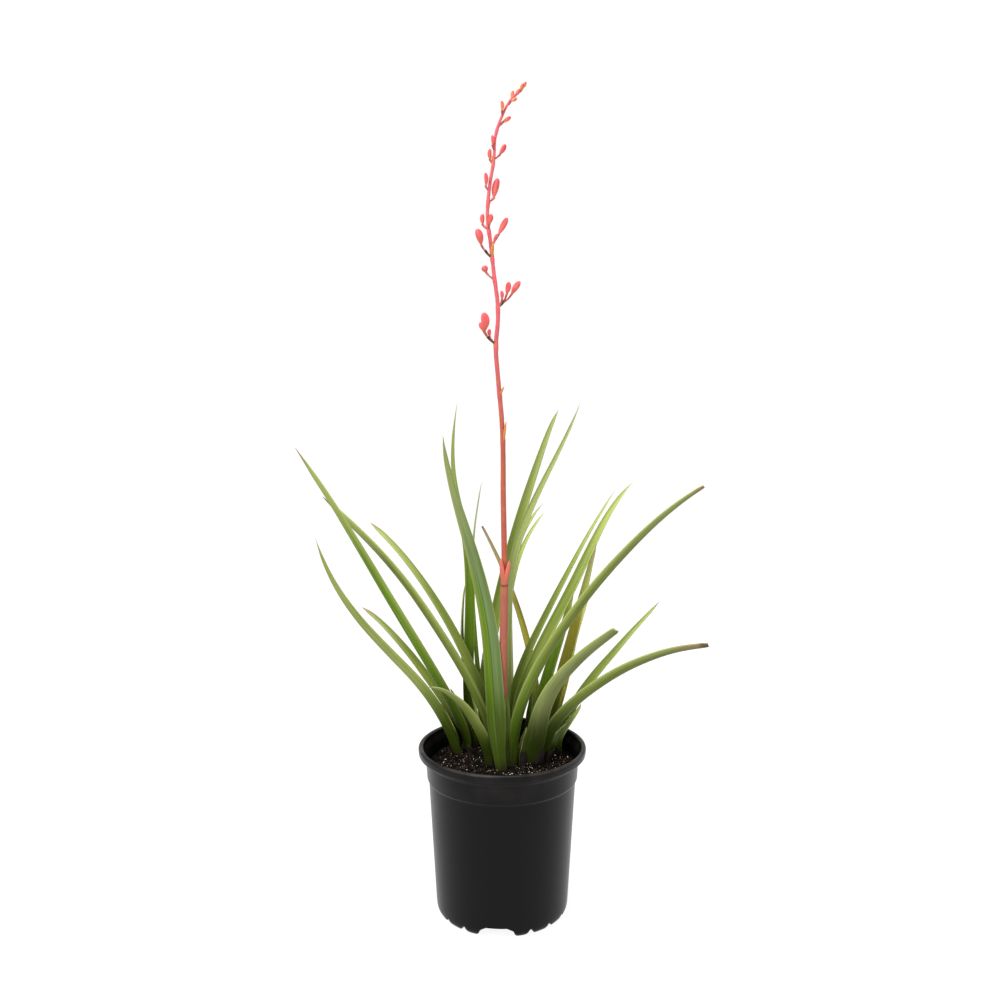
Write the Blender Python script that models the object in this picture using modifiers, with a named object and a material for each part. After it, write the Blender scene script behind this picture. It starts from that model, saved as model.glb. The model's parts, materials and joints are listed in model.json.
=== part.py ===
"""Potted red yucca: a nursery pot full of potting mix, three rosettes of channelled leaves,
and one flower spike. Metres, +Z up, origin on the pot's axis at ground level, front towards -Y."""

import math
from collections import namedtuple

import bmesh
import bpy
from mathutils import Matrix, Vector

# Pot
POT_HEIGHT = 0.169
RIM_RADIUS = 0.0825
RIM_SKIRT = 0.0078
LIP_WIDTH = 0.0052
COLLAR_BOTTOM = 0.137
COLLAR_RADIUS = 0.0752
BODY_RADIUS = 0.0724
FOOT_RADIUS = 0.0655
WALL = 0.0013
FLOOR_UNDERSIDE = 0.0112
FLOOR_TOP = 0.0128
FOOT_FLAT_OUTER = 0.0612
FOOT_FLAT_INNER = 0.0570
POT_STEPS = 54

# Foot ring: 18 places, of which every sixth is a wide drain gap and the rest are lugs
FOOT_PLACES = 18
GAP_EVERY = 6
GAP_BEARING = -94.9
GAP_HEIGHT = 0.0105
GAP_TOP_WIDTH = 0.0225
GAP_BOTTOM_WIDTH = 0.0315
NOTCH_HEIGHT = 0.0036
NOTCH_WIDTH = 0.0050
DRAIN_SLOT = (0.005, 0.011)
DRAIN_SLOT_RADIUS = 0.0590

# Soil
SOIL_LEVEL = 0.150
SOIL_RELIEF = 0.0011
SOIL_RINGS = 7
SOIL_STEPS = 27
SEAT_GAP = 0.0003
HOLE_DEPTH = 0.010

# Leaves
NECK_THICKNESS = 0.0022
NECK_TOP = 0.1525
FLARE_SHARE = 0.16
MARGIN_THICKNESS = 0.0009
RIB_THICKNESS = 0.0022
RIB_TIP_THICKNESS = 0.0012
CHANNEL_AT_FOOT = 0.26
CHANNEL_AT_TIP = 0.12
STATION_LENGTH = 0.030
ACROSS = (-1.0, -0.5, 0.0, 0.5, 1.0)

# Each leaf: its foot on the soil; the points at even steps that its rib passes, its tip last; its width
# at the foot and at its widest; how far it is turned about its rib at foot and tip in degrees; its tip's
# share of the width; and the power of its taper, high where the blade stays wide until near its tip
Leaf = namedtuple("Leaf", "name foot route widths turn tip taper colour")

OLIVE = (0.165, 0.215, 0.060)
GREEN = (0.110, 0.215, 0.030)
GLAUCOUS = (0.170, 0.255, 0.125)
DARK = (0.070, 0.130, 0.035)
TAWNY = (0.235, 0.215, 0.055)

LEAVES = (
    Leaf("leaf_left_1", (-0.037, 0.036),
         ((-0.062, 0.028, 0.221), (-0.112, 0.014, 0.315), (-0.146, -0.002, 0.382), (-0.193, -0.020, 0.465)),
         (0.010, 0.0141), (30, 40), 0.29, 2.1, GREEN),
    Leaf("leaf_left_2", (-0.045, 0.024),
         ((-0.086, -0.002, 0.237), (-0.131, -0.042, 0.303), (-0.164, -0.090, 0.392)),
         (0.010, 0.0129), (20, 35), 0.08, 2.3, GREEN),
    Leaf("leaf_left_3", (-0.031, 0.051),
         ((-0.065, 0.060, 0.200), (-0.104, 0.072, 0.250), (-0.147, 0.087, 0.286)),
         (0.007, 0.0111), (-25, -35), 0.28, 2.1, DARK),
    Leaf("leaf_left_4", (-0.013, -0.005),
         ((-0.019, -0.012, 0.180), (-0.030, -0.022, 0.205), (-0.046, -0.032, 0.228), (-0.070, -0.042, 0.241)),
         (0.011, 0.0175), (10, 20), 0.25, 2.4, GREEN),
    Leaf("leaf_left_5", (-0.024, 0.052),
         ((-0.035, 0.058, 0.239), (-0.034, 0.062, 0.335), (-0.045, 0.065, 0.404), (-0.045, 0.070, 0.502)),
         (0.009, 0.0135), (-10, -30), 0.10, 1.8, OLIVE),
    Leaf("leaf_left_6", (-0.020, 0.062),
         ((-0.027, 0.074, 0.242), (-0.031, 0.089, 0.327), (-0.021, 0.106, 0.418)),
         (0.007, 0.0105), (0, 0), 0.12, 1.8, OLIVE),
    Leaf("leaf_left_7", (-0.011, 0.056),
         ((-0.012, 0.061, 0.251), (0.022, 0.065, 0.397), (0.057, 0.070, 0.494)),
         (0.009, 0.0160), (40, 40), 0.08, 2.4, OLIVE),
    Leaf("leaf_left_8", (-0.033, 0.061),
         ((-0.037, 0.063, 0.207), (-0.041, 0.065, 0.262), (-0.037, 0.068, 0.317)),
         (0.005, 0.0080), (30, 40), 0.15, 2.0, DARK),
    Leaf("leaf_middle_1", (-0.001, -0.020),
         ((-0.008, -0.011, 0.234), (-0.018, -0.003, 0.315), (-0.039, 0.005, 0.393), (-0.057, 0.014, 0.473)),
         (0.011, 0.0190), (-48, -25), 0.12, 2.2, GLAUCOUS),
    Leaf("leaf_middle_2", (-0.012, 0.014),
         ((-0.032, 0.020, 0.224), (-0.077, 0.027, 0.298), (-0.119, 0.033, 0.352), (-0.178, 0.040, 0.410)),
         (0.009, 0.0131), (48, 55), 0.56, 3.0, OLIVE),
    Leaf("leaf_middle_3", (-0.008, 0.029),
         ((-0.032, 0.042, 0.234), (-0.079, 0.071, 0.313), (-0.138, 0.100, 0.374)),
         (0.009, 0.0132), (-15, -35), 0.32, 1.2, OLIVE),
    Leaf("leaf_middle_4", (0.011, -0.006),
         ((0.026, -0.014, 0.232), (0.068, -0.024, 0.308), (0.123, -0.035, 0.378), (0.183, -0.048, 0.432)),
         (0.011, 0.0141), (-40, -40), 0.31, 3.0, OLIVE),
    Leaf("leaf_middle_5", (0.016, 0.008),
         ((0.023, 0.015, 0.229), (0.056, 0.024, 0.295), (0.090, 0.034, 0.364), (0.130, 0.045, 0.424)),
         (0.009, 0.0141), (0, 50), 0.08, 2.9, OLIVE),
    Leaf("leaf_middle_6", (0.014, 0.022),
         ((0.015, 0.035, 0.222), (0.045, 0.050, 0.289), (0.079, 0.069, 0.350), (0.117, 0.090, 0.410)),
         (0.008, 0.0114), (10, 30), 0.08, 1.3, OLIVE),
    Leaf("leaf_middle_7", (0.001, 0.018),
         ((0.005, 0.027, 0.248), (0.010, 0.039, 0.336), (0.037, 0.050, 0.415), (0.078, 0.060, 0.502)),
         (0.008, 0.0130), (0, 40), 0.10, 1.8, OLIVE),
    Leaf("leaf_middle_8", (-0.001, 0.033),
         ((0.007, 0.050, 0.237), (0.009, 0.069, 0.322), (0.043, 0.092, 0.396)),
         (0.007, 0.0115), (0, 20), 0.12, 1.8, GREEN),
    Leaf("leaf_middle_9", (0.001, 0.045),
         ((0.003, 0.062, 0.234), (0.010, 0.083, 0.314), (0.045, 0.105, 0.385)),
         (0.007, 0.0115), (0, 20), 0.12, 1.8, GREEN),
    Leaf("leaf_right_1", (0.027, -0.001),
         ((0.036, -0.021, 0.202), (0.048, -0.048, 0.243), (0.073, -0.077, 0.282), (0.099, -0.108, 0.314)),
         (0.019, 0.0231), (-30, -42), 0.30, 0.8, GLAUCOUS),
    Leaf("leaf_right_2", (0.044, 0.014),
         ((0.058, -0.003, 0.199), (0.094, -0.021, 0.238), (0.135, -0.041, 0.268), (0.189, -0.062, 0.287)),
         (0.011, 0.0141), (-38, -45), 0.49, 2.8, GLAUCOUS),
    Leaf("leaf_right_3", (0.051, 0.035),
         ((0.081, 0.042, 0.207), (0.118, 0.050, 0.253), (0.161, 0.060, 0.299)),
         (0.009, 0.0122), (20, 40), 0.15, 1.7, OLIVE),
    Leaf("leaf_right_4", (0.042, 0.038),
         ((0.061, 0.050, 0.223), (0.079, 0.058, 0.292), (0.097, 0.066, 0.362)),
         (0.009, 0.0140), (15, 40), 0.12, 2.4, TAWNY),
    Leaf("leaf_right_5", (0.0405, 0.048),
         ((0.060, 0.064, 0.198), (0.073, 0.079, 0.245), (0.091, 0.097, 0.290)),
         (0.007, 0.0125), (10, 30), 0.15, 2.4, TAWNY),
    Leaf("leaf_right_6", (0.033, 0.027),
         ((0.041, 0.034, 0.209), (0.058, 0.043, 0.264), (0.073, 0.052, 0.318)),
         (0.009, 0.0135), (20, 40), 0.12, 2.4, GREEN),
    Leaf("leaf_right_7", (0.030, 0.043),
         ((0.034, 0.059, 0.209), (0.023, 0.078, 0.264), (0.004, 0.096, 0.317), (-0.021, 0.108, 0.369)),
         (0.006, 0.0095), (0, 0), 0.12, 2.0, TAWNY),
    Leaf("leaf_right_8", (0.058, 0.021),
         ((0.060, 0.025, 0.170), (0.070, 0.028, 0.185), (0.080, 0.032, 0.200)),
         (0.005, 0.0080), (10, 30), 0.15, 2.4, GLAUCOUS),
    Leaf("leaf_right_9", (0.047, 0.025),
         ((0.051, 0.018, 0.165), (0.057, 0.012, 0.177), (0.064, 0.006, 0.188)),
         (0.005, 0.0075), (-30, -40), 0.15, 2.4, GLAUCOUS),
)

# Flower stalk: points along it with its radius there
STALK_FOOT = (0.003, -0.004)
STALK_FOOT_RADIUS = 0.0041
STALK = (
    ((0.003, -0.004, 0.160), STALK_FOOT_RADIUS),
    ((0.001, -0.003, 0.240), 0.0040),
    ((0.002, -0.002, 0.322), 0.0039),
    ((0.002, -0.001, 0.350), 0.0028),
    ((0.001, 0.000, 0.412), 0.0026),
    ((0.000, 0.000, 0.480), 0.0023),
    ((-0.004, 0.000, 0.528), 0.0021),
    ((-0.006, 0.000, 0.556), 0.0021),
    ((-0.004, 0.000, 0.589), 0.0019),
    ((-0.008, 0.000, 0.626), 0.0018),
    ((-0.011, 0.000, 0.653), 0.0018),
    ((-0.0137, 0.000, 0.675), 0.0016),
    ((-0.012, 0.000, 0.701), 0.0016),
    ((-0.008, 0.000, 0.726), 0.0014),
    ((-0.006, 0.000, 0.749), 0.0013),
    ((0.000, 0.000, 0.766), 0.0012),
    ((0.008, 0.000, 0.780), 0.0010),
    ((0.0175, 0.000, 0.789), 0.0008),
)
STALK_COLOUR = (0.560, 0.130, 0.090)

# Flower buds: where the bud's own stem leaves the stalk or its branch, the bud's base and tip, its radius
BUDS = (
    ((-0.013, -0.003, 0.566), (-0.0165, -0.004, 0.572), (-0.0170, -0.005, 0.589), 0.0041),
    ((-0.010, -0.001, 0.564), (-0.0118, 0.001, 0.567), (-0.0122, 0.003, 0.574), 0.0019),
    ((-0.013, -0.003, 0.566), (-0.0175, 0.000, 0.572), (-0.0212, 0.002, 0.580), 0.0022),
    ((0.001, 0.002, 0.599), (0.0085, 0.005, 0.606), (0.0165, 0.007, 0.618), 0.0029),
    ((0.001, 0.002, 0.599), (0.0040, 0.000, 0.606), (0.0062, -0.002, 0.617), 0.0027),
    ((-0.002, 0.001, 0.596), (-0.0004, -0.001, 0.601), (-0.0006, -0.002, 0.609), 0.0018),
    ((-0.009, 0.000, 0.621), (-0.0150, 0.003, 0.626), (-0.0174, 0.004, 0.632), 0.0031),
    ((-0.0154, -0.003, 0.645), (-0.0195, -0.005, 0.652), (-0.0228, -0.007, 0.668), 0.0031),
    ((-0.0112, 0.000, 0.649), (-0.0080, 0.003, 0.653), (-0.0046, 0.004, 0.661), 0.0018),
    ((-0.0112, 0.000, 0.651), (-0.0036, -0.001, 0.660), (0.0046, -0.002, 0.675), 0.0028),
    ((-0.0135, 0.000, 0.665), (-0.0180, 0.002, 0.669), (-0.0182, 0.004, 0.679), 0.0022),
    ((-0.0135, 0.000, 0.665), (-0.0120, -0.004, 0.669), (-0.0102, -0.005, 0.678), 0.0023),
    ((-0.0125, 0.000, 0.690), (-0.0080, 0.002, 0.693), (-0.0042, 0.004, 0.711), 0.0033),
    ((-0.0120, 0.000, 0.699), (-0.0152, -0.002, 0.703), (-0.0154, -0.003, 0.715), 0.0020),
    ((-0.0075, 0.000, 0.728), (-0.0026, -0.002, 0.731), (0.0028, -0.003, 0.740), 0.0024),
    ((-0.0085, 0.000, 0.723), (-0.0112, 0.002, 0.727), (-0.0112, 0.003, 0.737), 0.0019),
    ((-0.0070, 0.000, 0.735), (-0.0090, -0.002, 0.739), (-0.0092, -0.003, 0.748), 0.0017),
    ((-0.0030, 0.000, 0.757), (0.0000, 0.002, 0.760), (0.0078, 0.003, 0.765), 0.0019),
    ((0.0000, 0.000, 0.766), (-0.0004, -0.002, 0.769), (-0.0004, -0.003, 0.778), 0.0017),
    ((0.0060, 0.000, 0.776), (0.0076, -0.002, 0.778), (0.0132, -0.003, 0.780), 0.0017),
    ((0.0070, 0.000, 0.779), (0.0084, 0.002, 0.781), (0.0100, 0.003, 0.788), 0.0016),
    ((0.0105, 0.000, 0.782), (0.0122, 0.001, 0.784), (0.0158, 0.002, 0.789), 0.0019),
    ((0.0140, 0.000, 0.785), (0.0157, -0.001, 0.787), (0.0188, -0.002, 0.793), 0.0018),
    ((0.0165, 0.000, 0.787), (0.0178, 0.000, 0.789), (0.0215, 0.000, 0.795), 0.0016),
)
BUD_SIDES = 6
BUD_RINGS = 5
STEM_RADIUS = 0.0009
STEM_SIDES = 5

# Branches that carry the lower buds: from the stalk outwards
BRANCHES = (
    ((-0.006, 0.000, 0.561), (-0.013, -0.003, 0.566)),
    ((-0.005, 0.000, 0.594), (0.001, 0.002, 0.599)),
    ((-0.010, 0.000, 0.640), (-0.0154, -0.003, 0.645)),
)

# Bracts, the small scale leaves under each group of buds and along the stalk: base, tip, width at base
BRACTS = (
    ((0.0025, -0.0030, 0.326), (0.0072, -0.0055, 0.354), 0.0044),
    ((0.0015, 0.0005, 0.326), (-0.0006, 0.0025, 0.354), 0.0044),
    ((0.0012, -0.0015, 0.468), (0.0030, -0.0028, 0.488), 0.0026),
    ((-0.0022, -0.0012, 0.512), (0.0010, -0.0024, 0.521), 0.0024),
    ((-0.0062, 0.0000, 0.557), (-0.0104, -0.0010, 0.566), 0.0024),
    ((-0.0045, 0.0000, 0.591), (-0.0014, 0.0010, 0.600), 0.0024),
    ((-0.0080, 0.0000, 0.618), (-0.0115, 0.0010, 0.624), 0.0020),
    ((-0.0098, -0.0008, 0.638), (-0.0088, -0.0030, 0.654), 0.0030),
    ((-0.0128, 0.0000, 0.662), (-0.0150, 0.0010, 0.669), 0.0018),
    ((-0.0122, 0.0000, 0.687), (-0.0102, 0.0014, 0.694), 0.0020),
    ((-0.0086, 0.0000, 0.722), (-0.0094, -0.0012, 0.731), 0.0018),
    ((-0.0046, 0.0000, 0.752), (-0.0020, 0.0012, 0.760), 0.0016),
)
BRACT_SIDES = 5
BRACT_FLATNESS = 0.6


# Placing and collecting
def clear_scene():
    for obj in list(bpy.data.objects):
        bpy.data.objects.remove(obj, do_unlink=True)


def new_collection(name):
    collection = bpy.data.collections.new(name)
    bpy.context.scene.collection.children.link(collection)
    return collection


def new_object(name, mesh, collection):
    obj = bpy.data.objects.new(name, mesh)
    collection.objects.link(obj)
    return obj


def plain_material(name, colour, roughness):
    material = bpy.data.materials.new(name)
    material.use_nodes = True
    shader = material.node_tree.nodes["Principled BSDF"]
    shader.inputs["Base Color"].default_value = (*colour, 1.0)
    shader.inputs["Roughness"].default_value = roughness
    shader.inputs["Metallic"].default_value = 0.0
    return material


def finish(obj, colour, roughness, sharp_degrees=35):
    obj.data.materials.clear()
    obj.data.materials.append(plain_material(obj.name + "_finish", colour, roughness))
    obj.data.shade_smooth()
    obj.data.set_sharp_from_angle(angle=math.radians(sharp_degrees))


def hide_cutter(obj):
    obj.hide_render = True
    obj.display_type = "WIRE"


def mesh_from(bm, name):
    bmesh.ops.recalc_face_normals(bm, faces=bm.faces)
    mesh = bpy.data.meshes.new(name)
    bm.to_mesh(mesh)
    bm.free()
    return mesh


def apply_modifiers(obj):
    """Give the object the mesh that its modifiers make, and take them off."""
    graph = bpy.context.evaluated_depsgraph_get()
    mesh = bpy.data.meshes.new_from_object(obj.evaluated_get(graph))
    obj.modifiers.clear()
    obj.data = mesh


def cut_with(obj, cutters, solver="EXACT"):
    cut = obj.modifiers.new("cut", "BOOLEAN")
    cut.operation = "DIFFERENCE"
    cut.operand_type = "COLLECTION"
    cut.collection = cutters
    cut.solver = solver


# Pot
def pot_profile():
    """Radius and height, from the floor's middle up the inside, over the rim and down the outside."""
    top = POT_HEIGHT
    skirt = top - RIM_SKIRT
    lip_inner = RIM_RADIUS - LIP_WIDTH
    body_slope = (BODY_RADIUS - FOOT_RADIUS) / (COLLAR_BOTTOM - 0.008)
    wall_at_floor = FOOT_RADIUS + body_slope * (FLOOR_TOP - 0.008)
    return (
        (0.0, FLOOR_TOP),
        (wall_at_floor - WALL, FLOOR_TOP),
        (BODY_RADIUS - WALL, COLLAR_BOTTOM - 0.002),
        (COLLAR_RADIUS - WALL - 0.0012, COLLAR_BOTTOM + 0.002),
        (COLLAR_RADIUS - WALL, skirt - 0.003),
        (lip_inner, top - 0.0045),
        (lip_inner + 0.0002, top - 0.0012),
        (lip_inner + 0.0014, top),
        (RIM_RADIUS - 0.0016, top),
        (RIM_RADIUS - 0.0003, top - 0.0010),
        (RIM_RADIUS, top - 0.0026),
        (RIM_RADIUS - 0.0004, skirt + 0.0003),
        (RIM_RADIUS - 0.0016, skirt),
        (COLLAR_RADIUS + 0.0028, skirt + 0.0006),
        (COLLAR_RADIUS + 0.0026, skirt - 0.0030),
        (COLLAR_RADIUS, skirt - 0.0046),
        (COLLAR_RADIUS - 0.0011, COLLAR_BOTTOM + 0.0005),
        (BODY_RADIUS, COLLAR_BOTTOM - 0.0010),
        (FOOT_RADIUS, 0.0080),
        (FOOT_RADIUS - 0.0007, 0.0040),
        (FOOT_RADIUS - 0.0022, 0.0014),
        (FOOT_FLAT_OUTER, 0.0),
        (FOOT_FLAT_INNER, 0.0),
        (FOOT_FLAT_INNER - 0.0008, FLOOR_UNDERSIDE),
        (0.0, FLOOR_UNDERSIDE),
    )


def turned(name, profile, steps, collection):
    """A closed round solid from a profile of radius and height that starts and ends on the axis."""
    mesh = bpy.data.meshes.new(name)
    edges = [(k, k + 1) for k in range(len(profile) - 1)]
    mesh.from_pydata([(radius, 0.0, height) for radius, height in profile], edges, [])
    obj = new_object(name, mesh, collection)
    screw = obj.modifiers.new("turn", "SCREW")
    screw.axis = "Z"
    screw.steps = steps
    screw.render_steps = steps
    screw.use_merge_vertices = True
    screw.merge_threshold = 0.00005
    return obj


def wedge(name, bottom_width, top_width, height, inner, outer, collection):
    """A block along +X, wider below than above, that starts under the ground."""
    bm = bmesh.new()
    bmesh.ops.create_cube(bm, size=1.0)
    low = -0.001
    for vert in bm.verts:
        width = top_width if vert.co.z > 0 else bottom_width
        vert.co.x = outer if vert.co.x > 0 else inner
        vert.co.y = math.copysign(width / 2, vert.co.y)
        vert.co.z = height if vert.co.z > 0 else low
    obj = new_object(name, mesh_from(bm, name), collection)
    hide_cutter(obj)
    return obj


def foot_cutters(collection):
    for place in range(FOOT_PLACES):
        step = 360 / FOOT_PLACES
        bearing = math.radians(GAP_BEARING + step * place)
        if place % GAP_EVERY == 0:
            gap = wedge("gap_cutter_%d" % place, GAP_BOTTOM_WIDTH, GAP_TOP_WIDTH, GAP_HEIGHT,
                        FOOT_FLAT_INNER - 0.004, FOOT_RADIUS + 0.004, collection)
            gap.rotation_euler.z = bearing
            slot_depth, slot_width = DRAIN_SLOT
            slot = wedge("slot_cutter_%d" % place, slot_width, slot_width, FLOOR_TOP + 0.001,
                         DRAIN_SLOT_RADIUS - slot_depth / 2, DRAIN_SLOT_RADIUS + slot_depth / 2, collection)
            slot.rotation_euler.z = bearing
        if place % GAP_EVERY not in (0, GAP_EVERY - 1):
            notch = wedge("notch_cutter_%d" % place, NOTCH_WIDTH, NOTCH_WIDTH * 0.15, NOTCH_HEIGHT,
                          FOOT_FLAT_OUTER - 0.003, FOOT_RADIUS + 0.004, collection)
            notch.rotation_euler.z = bearing + math.radians(step / 2)


def make_pot(parts, cutters):
    foot_cutters(cutters)
    pot = turned("pot", pot_profile(), POT_STEPS, parts)
    cut_with(pot, cutters)
    finish(pot, (0.018, 0.017, 0.017), 0.42)
    return pot


# Soil
def soil_height(x, y):
    """The soil's surface: low heaps and dips, gentle enough to lie on."""
    wave = math.sin(x * 190 + 1.3) * math.cos(y * 160 - 0.4) + 0.6 * math.sin(x * 310 - y * 270 + 2.1)
    return SOIL_LEVEL + SOIL_RELIEF * wave / 1.6


def pot_inner_radius(height):
    """Radius of the pot's inside at a height between its floor and its rim."""
    inside = pot_profile()[1:6]
    for (low_radius, low), (high_radius, high) in zip(inside, inside[1:]):
        if height <= high:
            return low_radius + (high_radius - low_radius) * (height - low) / (high - low)
    return inside[-1][0]


def soil_profile():
    """From the middle of the surface outwards, then down the pot's wall to the middle of its floor."""
    surface_radius = pot_inner_radius(SOIL_LEVEL) - SEAT_GAP
    surface = [(surface_radius * ring / SOIL_RINGS, SOIL_LEVEL) for ring in range(SOIL_RINGS + 1)]
    bends = (COLLAR_BOTTOM + 0.002, COLLAR_BOTTOM - 0.002, FLOOR_TOP)
    wall = [(pot_inner_radius(height) - SEAT_GAP, height) for height in bends]
    wall[-1] = (wall[-1][0], FLOOR_TOP + SEAT_GAP)
    return surface + wall + [(0.0, FLOOR_TOP + SEAT_GAP)]


def make_soil(parts, cutters):
    soil = turned("soil", soil_profile(), SOIL_STEPS, parts)
    apply_modifiers(soil)
    bm = bmesh.new()
    bm.from_mesh(soil.data)
    for vert in bm.verts:
        if vert.co.z > SOIL_LEVEL - 0.001:
            vert.co.z = soil_height(vert.co.x, vert.co.y)
    bmesh.ops.triangulate(bm, faces=bm.faces)
    bm.to_mesh(soil.data)
    bm.free()
    for leaf in LEAVES:
        leaf_hole(leaf, cutters)
    stalk_hole(cutters)
    cut_with(soil, cutters)
    finish(soil, (0.030, 0.020, 0.013), 0.95)
    return soil


def hole_cutter(name, middle, bearing, shape, collection):
    """A plain hole's cutter: an upright post of a shape that fills a bmesh, through the soil's surface."""
    bm = bmesh.new()
    bottom = SOIL_LEVEL - HOLE_DEPTH
    top = SOIL_LEVEL + 0.004
    place = Matrix.Translation((middle[0], middle[1], (bottom + top) / 2)) @ Matrix.Rotation(bearing, 4, "Z")
    shape(bm, top - bottom, place)
    obj = new_object(name, mesh_from(bm, name), collection)
    hide_cutter(obj)


def leaf_hole(leaf, collection):
    across = lateral(leaf, 0.0)
    middle = Vector((*leaf.foot, 0.0)) - inward(leaf, 0.0) * (NECK_THICKNESS / 2)
    width = leaf.widths[0] + 2 * SEAT_GAP
    thickness = NECK_THICKNESS + 2 * SEAT_GAP

    def slot(bm, depth, place):
        bmesh.ops.create_cube(bm, size=1.0, matrix=place @ Matrix.Diagonal((width, thickness, depth, 1.0)))

    hole_cutter(leaf.name + "_hole", middle, math.atan2(across.y, across.x), slot, collection)


def stalk_hole(collection):
    radius = STALK_FOOT_RADIUS + SEAT_GAP + 0.0002

    def round_post(bm, depth, place):
        bmesh.ops.create_cone(bm, cap_ends=True, segments=12, radius1=radius, radius2=radius, depth=depth,
                              matrix=place)

    hole_cutter("stalk_hole", STALK_FOOT, 0.0, round_post, collection)


# Leaves
def on_route(points, t):
    """Point at t from 0 to 1 on the one smooth curve through points at even steps."""
    last = len(points) - 1
    row = [Vector(point) for point in points]
    for span in range(1, last + 1):
        for k in range(last + 1 - span):
            lower = k / last
            upper = (k + span) / last
            row[k] = ((upper - t) * row[k] + (t - lower) * row[k + 1]) / (upper - lower)
    return row[0]


def rib_points(leaf):
    return [(leaf.foot[0], leaf.foot[1], NECK_TOP), *leaf.route]


def rib_direction(leaf, t):
    points = rib_points(leaf)
    step = 0.01
    return (on_route(points, t + step) - on_route(points, t - step)).normalized()


def lateral(leaf, t):
    """Direction across the blade: level, square to the way the leaf heads, then turned about its rib."""
    heading = Vector(leaf.route[-1]) - Vector((*leaf.foot, 0.0))
    level = Vector((-heading.y, heading.x, 0.0)).normalized()
    direction = rib_direction(leaf, t) if t > 0 else Vector((0.0, 0.0, 1.0))
    across = (level - direction * level.dot(direction)).normalized()
    turn = math.radians(leaf.turn[0] + (leaf.turn[1] - leaf.turn[0]) * t)
    return Matrix.Rotation(turn, 3, direction) @ across


def inward(leaf, t):
    """Direction out of the channelled face, towards the plant's middle at the foot and up at the tip."""
    direction = rib_direction(leaf, t) if t > 0 else Vector((0.0, 0.0, 1.0))
    return direction.cross(lateral(leaf, t)).normalized()


def smooth(t):
    t = min(max(t, 0.0), 1.0)
    return t * t * (3 - 2 * t)


def leaf_length(leaf):
    points = rib_points(leaf)
    places = [on_route(points, k / 20) for k in range(21)]
    return sum((b - a).length for a, b in zip(places, places[1:]))


def blade_width(leaf, t):
    neck, widest = leaf.widths
    full = widest * (leaf.tip + (1 - leaf.tip) * (1 - t ** leaf.taper))
    return neck + (full - neck) * smooth(t / FLARE_SHARE)


def blade_stations(length):
    """Even steps along the blade, with closer ones where the neck opens into it and near the tip."""
    count = max(4, round(length / STATION_LENGTH))
    even = [k / count for k in range(1, count)]
    flare = [FLARE_SHARE * step for step in (0.3, 0.65, 1.0)]
    body = [t for t in even if t > FLARE_SHARE * 1.3]
    return [0.0] + flare + body + [1 - 0.3 / count, 1.0]


def blade_section(leaf, t):
    """Inner and outer points across the blade, in order from one margin to the other."""
    across = lateral(leaf, t)
    face = inward(leaf, t)
    width = blade_width(leaf, t)
    share = CHANNEL_AT_FOOT + (CHANNEL_AT_TIP - CHANNEL_AT_FOOT) * t
    opening = smooth(t / FLARE_SHARE)
    channel = width * share * opening
    rib = RIB_THICKNESS + (RIB_TIP_THICKNESS - RIB_THICKNESS) * t
    centre = on_route(rib_points(leaf), t) - face * (channel / 2)
    inner = [centre + across * (u * width / 2) + face * (channel * u * u) for u in ACROSS]
    thickness = [MARGIN_THICKNESS + (rib - MARGIN_THICKNESS) * (1 - u * u) for u in ACROSS]
    outer = [point - face * depth for point, depth in zip(inner, thickness)]
    return inner, outer


def make_leaf(leaf, parts):
    """One blade, lofted section by section because its sections turn and change along it. Both faces
    are split into triangles alike, so that the thin blade never cuts itself."""
    sections = [blade_section(leaf, t) for t in blade_stations(leaf_length(leaf))]
    sink = Vector((0.0, 0.0, SOIL_LEVEL - HOLE_DEPTH + SEAT_GAP - NECK_TOP))
    foot = tuple([point + sink for point in side] for side in sections[0])
    sections.insert(0, foot)
    bm = bmesh.new()
    rows = [[[bm.verts.new(point) for point in side] for side in section] for section in sections]
    last = len(ACROSS) - 1
    for (inner, outer), (inner_next, outer_next) in zip(rows, rows[1:]):
        for k in range(last):
            for side, ahead in ((inner, inner_next), (outer, outer_next)):
                bm.faces.new((side[k], side[k + 1], ahead[k + 1]))
                bm.faces.new((side[k], ahead[k + 1], ahead[k]))
        for k in (0, last):
            bm.faces.new((inner[k], outer[k], outer_next[k]))
            bm.faces.new((inner[k], outer_next[k], inner_next[k]))
    for inner, outer in (rows[0], rows[-1]):
        for k in range(last):
            bm.faces.new((inner[k], inner[k + 1], outer[k + 1], outer[k]))
    obj = new_object(leaf.name, mesh_from(bm, leaf.name), parts)
    finish(obj, leaf.colour, 0.45, 60)


# Flower spike
def stalk_points():
    bottom = SOIL_LEVEL - HOLE_DEPTH + SEAT_GAP
    return (((*STALK_FOOT, bottom), STALK_FOOT_RADIUS), *STALK)


def make_stalk(collection):
    """A tube along the stalk's points, made a mesh so that buds and bracts can be joined to it."""
    points = stalk_points()
    curve = bpy.data.curves.new("stalk", "CURVE")
    curve.dimensions = "3D"
    curve.bevel_depth = 1.0
    curve.bevel_resolution = 2
    curve.resolution_u = 2
    curve.use_fill_caps = True
    spline = curve.splines.new("BEZIER")
    spline.bezier_points.add(len(points) - 1)
    for knot, (place, radius) in zip(spline.bezier_points, points):
        knot.co = place
        knot.radius = radius
        knot.handle_left_type = "AUTO"
        knot.handle_right_type = "AUTO"
    tube = new_object("stalk_curve", curve, collection)
    bpy.context.view_layer.update()
    graph = bpy.context.evaluated_depsgraph_get()
    mesh = bpy.data.meshes.new_from_object(tube.evaluated_get(graph))
    bm = bmesh.new()
    bm.from_mesh(mesh)
    bmesh.ops.remove_doubles(bm, verts=bm.verts, dist=0.00001)
    bpy.data.objects.remove(tube, do_unlink=True)
    return new_object("flower_spike", mesh_from(bm, "flower_spike"), collection)


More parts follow.
